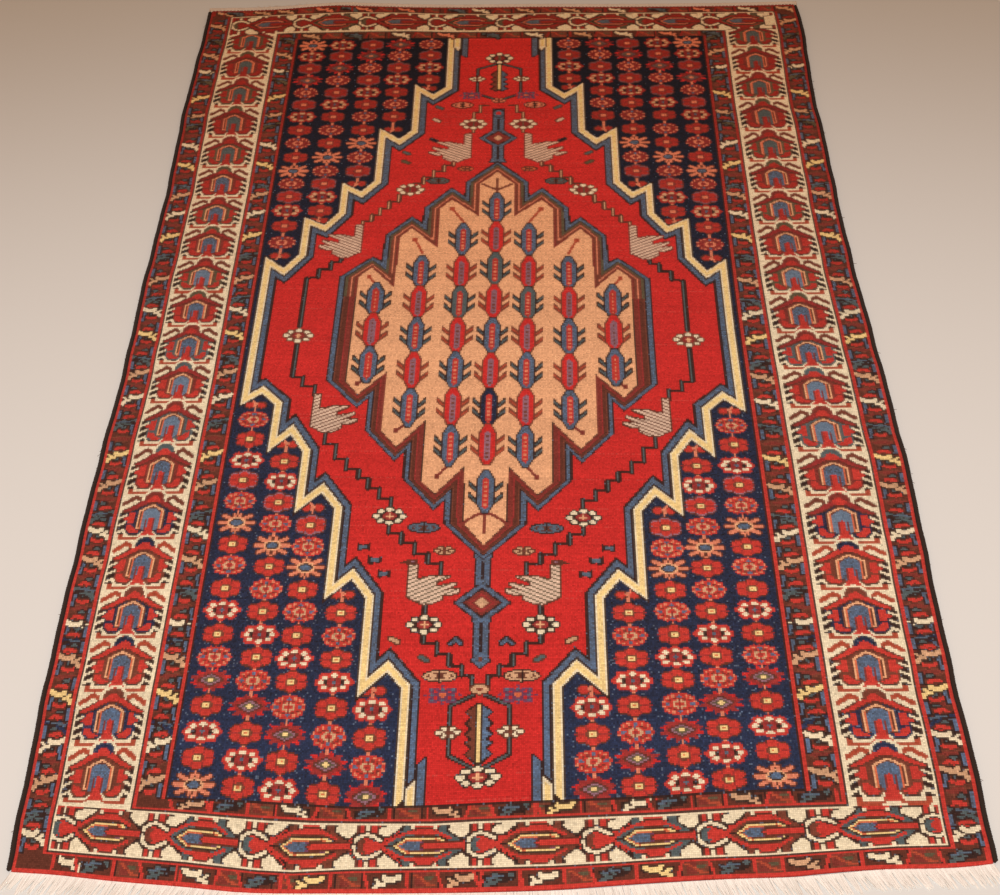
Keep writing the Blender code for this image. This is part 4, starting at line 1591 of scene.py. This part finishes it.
@dataclass
class Selvedge:
    """An overcast cord down a long side: dark wool wrapped round and round the outer warps."""

    node: str
    wrap: float = 3.6
    points_round: int = 10
    ridge: float = 0.45
    half_width: float = 3.75
    half_height: float = 3.35
    # Height of the cord's middle; how far it stops short of each end, and how much it narrows there
    height: float = 3.75
    inset: float = 1.5
    taper: float = 3.3
    lean: float = 0.9
    size_jitter: float = 0.12
    place_jitter: float = 0.1

    def centre(self) -> tuple[Array, Array]:
        """Middle line of the CAD cord: halfway across each of its rings, by place along."""
        points = node_points(self.node).astype(float) / MM
        places, ring = np.unique(np.round(points[:, 1], 1), return_inverse=True)
        rings = [points[ring == k, 0] for k in range(len(places))]
        return places, np.array([(each.min() + each.max()) / 2 for each in rings])

    def build(self) -> Object:
        """Build the cord as a rounded section carried along its middle line.

        The section's radius swells and shrinks once for each wrap, and each ring leans along the cord as
        it goes round, so the wraps slant.
        """
        places, middle = self.centre()
        count = int((places[-1] - places[0]) / (self.wrap / 2))
        along = np.linspace(places[0] + self.inset, places[-1] - self.inset, count)
        chance = np.random.default_rng(len(self.node))
        turn = np.arange(self.points_round) * math.tau / self.points_round
        swell = np.where(np.arange(count) % 2 == 0, self.ridge, -self.ridge) / 2
        swell = swell + chance.normal(0, self.size_jitter, count)
        swell[[0, -1]] = -self.taper
        half_width = self.half_width + swell[:, None]
        half_height = self.half_height + swell[:, None] * 0.8
        x = np.interp(along, places, middle)[:, None] + half_width * np.cos(turn)
        z = self.height + half_height * np.sin(turn)
        y = along[:, None] + self.lean * np.cos(turn) + chance.normal(0, self.place_jitter, (count, 1))
        points = np.stack([x, y, z], axis=-1).reshape(-1, 3) * MM
        faces = grid_faces(count, self.points_round, closed=True)[:, ::-1]
        piece = make_piece(f"overcast_{self.node}", points, faces)
        yarn = YarnFinish("overcast_wool", (0.045, 0.032, 0.024), (0.010, 0.007, 0.006), 260.0, 0.9, 0.05)
        finish_piece(piece, yarn.make())
        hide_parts(self.node)
        return piece


# Reach of a square's corner, in halves of its side
SQUARE_CORNER = 1.414


def thread_piece(name: str, places: Array, faces: Array, thread: Array) -> Object:
    """Piece of cotton from its places in metres, its faces and a colour for each face."""
    piece = make_piece(name, places, faces)
    set_colour(piece, "thread", thread)
    return finish_piece(piece, CottonFinish().make())


@dataclass
class Strands:
    """Loose threads: four-sided tapering strands carried along bent paths."""

    rings: int = 9
    # Thickness lost along a strand, left at its tip, and upright, as shares
    taper: float = 0.55
    tip: float = 0.2
    flatness: float = 0.75
    lift: float = 0.1

    def mesh(
        self, root: Array, heading: Array, length: Array, curl: Array,
        radius: Array, start_height: float,
    ) -> tuple[Array, Array]:
        """Points and faces of many strands at once.

        A strand's path turns evenly from its heading by its curl, and its height falls from the start to
        its own radius over the first third. Its section is a square that narrows to the tip.

        Args:
            root: plan of each root.
            heading: angle at each root, anticlockwise from +X.
            length: length of each.
            curl: turn from root to tip.
            radius: half-thickness at each root.
            start_height: height of the roots.

        Returns:
            The places in millimetres and the faces' point numbers.
        """
        share = np.linspace(0, 1, self.rings)[None, :]
        angle = heading[:, None] + curl[:, None] * share
        step = length[:, None] / (self.rings - 1)
        run_x = np.cumsum(np.cos(angle) * step, axis=1)
        run_y = np.cumsum(np.sin(angle) * step, axis=1)
        x = root[:, :1] + run_x - run_x[:, :1]
        y = root[:, 1:2] + run_y - run_y[:, :1]
        thick = radius[:, None] * (1 - self.taper * share**2)
        thick[:, -1] *= self.tip
        fall = np.clip(1 - 3 * share, 0, 1) ** 1.5
        z = thick + self.lift + (start_height - radius[:, None]) * fall
        turn = (np.arange(4) + 0.5) * math.tau / 4
        side = np.cos(turn)[None, None, :] * SQUARE_CORNER
        up = np.sin(turn)[None, None, :] * SQUARE_CORNER
        px = x[..., None] - np.sin(angle)[..., None] * thick[..., None] * side
        py = y[..., None] + np.cos(angle)[..., None] * thick[..., None] * side
        pz = z[..., None] + thick[..., None] * up * self.flatness
        points = np.stack([px, py, pz], axis=-1).reshape(-1, 3)
        ring = grid_faces(self.rings, 4, closed=True)
        faces = (ring[None] + (np.arange(len(root)) * self.rings * 4)[:, None, None]).reshape(-1, 4)
        return points, faces


@dataclass
class Fringe:
    """The cotton warps loose at the near end, in many small locks that lean outwards."""

    lie: Lie
    count: int = 1050
    locks: int = 210
    length: float = 31.0
    # The most a lock leans outwards, and the reach over which it comes to that
    lean_degrees: float = 31.0
    lean_reach: float = 260.0
    draw: float = 0.7
    radius: float = 1.0
    root_height: float = 3.0
    overhang: float = 6.0
    tuck: float = 0.2
    # Random turns of a lock and of a strand
    lean_jitter: Pair = (0.05, 0.03)
    curl_jitter: Pair = (0.06, 0.05)
    colour: Triple = (0.95, 0.98, 0.93)
    seed: int = 12

    def build(self) -> Object:
        """Build every strand, the strands of a lock drawn together towards its tip."""
        chance = np.random.default_rng(self.seed)
        half = HALF_WIDTH + self.overhang
        across = np.sort(np.linspace(-half, half, self.count) + chance.normal(0, 0.4, self.count))
        lock = np.arange(self.count) * self.locks // self.count
        middle = np.array([across[lock == k].mean() for k in range(self.locks)])[lock]
        edges = self.lie.edges
        x = np.interp(across, (-HALF_WIDTH, HALF_WIDTH), (edges.left[1][0], edges.right[1][0]))
        y = np.interp(x, *edges.near) - self.tuck
        lean = np.radians(self.lean_degrees) * np.tanh(middle / self.lean_reach)
        of_lock, of_strand = self.lean_jitter
        lean = lean + chance.normal(0, of_lock, self.locks)[lock] + chance.normal(0, of_strand, self.count)
        draw = (middle - across) / self.length * self.draw
        heading = -math.pi / 2 + lean + draw * 0.4
        of_lock, of_strand = self.curl_jitter
        curl = draw + chance.normal(0, of_lock, self.locks)[lock] + chance.normal(0, of_strand, self.count)
        length = self.length + chance.uniform(-3, 3, self.locks)[lock] + chance.uniform(-3, 2, self.count)
        radius = self.radius * chance.uniform(0.85, 1.15, self.count)
        root = np.column_stack([x, y])
        points, faces = Strands().mesh(root, heading, length, curl, radius, self.root_height)
        shade = np.repeat(chance.uniform(0.86, 1.04, self.count), len(faces) // self.count)
        thread = shade[:, None] * np.array(self.colour)
        piece = thread_piece("fringe", to_frame(*points.T), faces, thread)
        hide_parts("end_near")
        return piece


@dataclass
class FarBand:
    """The flat-woven cotton band at the far end, with a row of brown weft floats."""

    lie: Lie
    width: float = 18.0
    top: float = 2.5
    weft_pitch: float = 1.5
    warp_pitch: float = 2.6
    overhang: float = 8.0
    gap: float = 0.2
    edge_height: float = 0.2
    rib: float = 0.55
    rib_jitter: float = 0.08
    # The row of faces with brown floats, and the faces that a float and its gap take
    float_row: int = 5
    float_pitch: int = 3
    cotton: Triple = (0.86, 0.79, 0.68)
    float_wool: Triple = (0.16, 0.08, 0.05)
    seed: int = 21

    def build(self) -> Object:
        """Build the band as a ribbed grid turned down at its edges.

        Warps and wefts go over and under each other: a point whose row and column numbers add up to an
        odd number lies lower by the rib's depth. One row of faces is brown but for every third face.
        """
        chance = np.random.default_rng(self.seed)
        left = self.lie.edges.left[1][-1] - self.overhang
        right = self.lie.edges.right[1][-1] + self.overhang
        columns = int((right - left) / self.warp_pitch)
        x = np.linspace(left, right, columns + 1)
        base = np.interp(x, *self.lie.edges.far) + self.gap
        rows = int(self.width / self.weft_pitch)
        depth = np.linspace(0, self.width, rows + 1)
        ragged = 1 + 0.015 * np.sin(x / 7.0) + chance.normal(0, 0.01, len(x))
        y = base[None, :] + depth[:, None] * ragged[None, :]
        parity = (np.arange(rows + 1)[:, None] + np.arange(columns + 1)[None, :]) % 2
        z = self.top - self.rib * parity + chance.normal(0, self.rib_jitter, y.shape)
        grid_x = np.repeat(x[None, :], rows + 1, axis=0)
        pads = ((1, 1), (1, 1))
        grid_x, y, z = (np.pad(part, pads, mode="edge") for part in (grid_x, y, z))
        z[[0, -1]] = self.edge_height
        z[:, [0, -1]] = self.edge_height
        faces = grid_faces(*z.shape)
        row = np.repeat(np.arange(rows + 2), columns + 2)
        column = np.tile(np.arange(columns + 2), rows + 2)
        shade = chance.uniform(0.86, 1.05, len(faces))
        thread = shade[:, None] * np.array(self.cotton)
        brown = (row == self.float_row) & (column % self.float_pitch != 0)
        thread[brown] = shade[brown, None] * np.array(self.float_wool)
        piece = thread_piece("far_band", to_frame(grid_x, y, z), faces, thread)
        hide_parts("end_far")
        return piece


@dataclass
class Hairs:
    """Single threads that have come loose at the far end and down the sides."""

    lie: Lie
    # Loose warps: the number of long ones and their stretch across, and the same of short ones
    long_warps: int = 34
    long_stretch: Pair = (-545, -435)
    short_warps: int = 40
    short_stretch: Pair = (-640, 640)
    # Places along of the hairs on each cord, and how many more fall anywhere in a stretch
    left_places: tuple = (955, 948)
    right_places: tuple = (545, 165, -60, -235)
    more: int = 14
    side_stretch: Pair = (-950, 950)
    # How far off the pile the roots lie
    far_offset: float = 17.5
    side_offset: float = 7.5
    radius: float = 0.35
    root_height: float = 1.6
    cotton: Triple = (0.82, 0.74, 0.62)
    wool: Triple = (0.20, 0.14, 0.10)
    seed: int = 33

    def build(self) -> Object:
        """Build the far end's loose warps and a few hairs out of each side cord."""
        chance = np.random.default_rng(self.seed)
        edges = self.lie.edges
        warps = self.long_warps + self.short_warps
        far_x = np.concatenate([
            chance.uniform(*self.long_stretch, self.long_warps),
            chance.uniform(*self.short_stretch, self.short_warps),
        ])
        far = np.column_stack([far_x, np.interp(far_x, *edges.far) + self.far_offset])
        is_long = np.arange(warps) < self.long_warps
        far_length = np.where(is_long, chance.uniform(6, 15, warps), chance.uniform(2, 6, warps))
        left_y = np.concatenate([self.left_places, chance.uniform(*self.side_stretch, self.more)])
        right_y = np.concatenate([self.right_places, chance.uniform(*self.side_stretch, self.more)])
        left = np.column_stack([np.interp(left_y, *edges.left) - self.side_offset, left_y])
        right = np.column_stack([np.interp(right_y, *edges.right) + self.side_offset, right_y])
        root = np.vstack([far, left, right])
        heading = np.repeat((math.pi / 2, math.pi, 0.0), (warps, len(left), len(right)))
        heading = heading + chance.normal(0, 0.5, len(root))
        length = np.concatenate([far_length, chance.uniform(3, 8, len(left) + len(right))])
        curl = chance.normal(0, 0.9, len(root))
        radius = np.full(len(root), self.radius)
        points, faces = Strands(7).mesh(root, heading, length, curl, radius, self.root_height)
        pale = np.repeat(np.arange(len(root)) < warps, len(faces) // len(root))
        shade = np.where(pale[:, None], self.cotton, self.wool)
        return thread_piece("loose_hairs", to_frame(*points.T), faces, shade)


@dataclass
class Studio:
    """The floor, the light and the camera."""

    floor_half: float = 9.0
    floor_colour: Triple = (0.70, 0.775, 0.775)
    room_colour: Triple = (1.12, 0.65, 0.40)
    room_strength: float = 0.39
    lamp_colour: Triple = (1.10, 0.99, 0.97)
    lamp_power: float = 900.0
    lamp_place: Triple = (0.0, -3.0, 5.0)
    lamp_target: Triple = (0.0, -0.60, 0.0)
    lamp_cone_degrees: float = 32.0
    lamp_radius: float = 0.6
    lamp_stretch: float = 2.6
    # The camera's lens and sensor, its place in the plan, and its turns in radians
    lens: float = 50.4
    sensor: float = 36.0
    eye: Triple = (31.8, -1742.4, 1801.2)
    pitch: float = 0.8844122
    yaw: float = 0.02341999
    roll: float = -0.02743147

    def floor(self) -> None:
        """Lay a plain pale floor."""
        half = self.floor_half
        points = np.array([(-half, -half, 0), (half, -half, 0), (half, half, 0), (-half, half, 0)])
        floor = make_piece("floor", points, np.array([[0, 1, 2, 3]]))
        material = bpy.data.materials.new("pale_floor")
        material.use_nodes = True
        shader = material.node_tree.nodes["Principled BSDF"]
        shader.inputs["Base Color"].default_value = (*self.floor_colour, 1.0)
        shader.inputs["Roughness"].default_value = 0.9
        shader.inputs["Specular IOR Level"].default_value = 0.1
        floor.data.materials.append(material)

    def light(self) -> None:
        """Warm light from all round, and a soft lamp behind the camera that fades to the far end.

        The lamp's cone is stretched across the rug, so that it fades along it alone.
        """
        world = bpy.data.worlds.new("soft_room")
        world.use_nodes = True
        background = world.node_tree.nodes["Background"]
        background.inputs[0].default_value = (*self.room_colour, 1.0)
        background.inputs[1].default_value = self.room_strength
        bpy.context.scene.world = world
        light = bpy.data.lights.new("soft_lamp", "SPOT")
        light.energy = self.lamp_power
        light.color = self.lamp_colour
        light.spot_size = math.radians(self.lamp_cone_degrees)
        light.spot_blend = 1.0
        light.shadow_soft_size = self.lamp_radius
        lamp = bpy.data.objects.new(light.name, light)
        aim = Vector(self.lamp_target) - Vector(self.lamp_place)
        lamp.matrix_world = (
            Matrix.Translation(self.lamp_place)
            @ aim.to_track_quat("-Z", "Y").to_matrix().to_4x4()
            @ Matrix.Scale(self.lamp_stretch, 4, (1.0, 0.0, 0.0))
        )
        bpy.context.scene.collection.objects.link(lamp)

    def camera(self) -> None:
        """Stand the camera at the photo's angle, turned by its yaw, pitch and roll."""
        data = bpy.data.cameras.new("camera")
        data.lens = self.lens
        data.sensor_width = self.sensor
        data.sensor_fit = "HORIZONTAL"
        camera = bpy.data.objects.new("camera", data)
        x, y, z = self.eye
        place = ((x - PLAN_MIDDLE[0]) * MM, (y - PLAN_MIDDLE[1]) * MM, z * MM)
        camera.matrix_world = (
            Matrix.Translation(place)
            @ Matrix.Rotation(self.yaw, 4, "Z")
            @ Matrix.Rotation(math.pi / 2 - self.pitch, 4, "X")
            @ Matrix.Rotation(self.roll, 4, "Z")
        )
        bpy.context.scene.collection.objects.link(camera)
        bpy.context.scene.camera = camera

    def build(self) -> None:
        """Set up the floor, the lights and the camera, with colours shown plainly."""
        self.floor()
        self.light()
        self.camera()
        bpy.context.scene.view_settings.view_transform = "Standard"


def main() -> None:
    logging.basicConfig(level=logging.INFO, format="%(message)s")
    lie = Lie(SlabEdges())
    Studio().build()
    chart = Design().draw()
    log.info("chart: %d rows of %d knots", *chart.dyes.shape)
    foundation = Foundation(lie).build()
    strips = Pile(chart, lie).build()
    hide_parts("rug")
    cords = [Selvedge(node).build() for node in ("selvedge_left", "selvedge_right")]
    ends = [Fringe(lie).build(), FarBand(lie).build(), Hairs(lie).build()]
    list(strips)


if __name__ == "__main__":
    main()
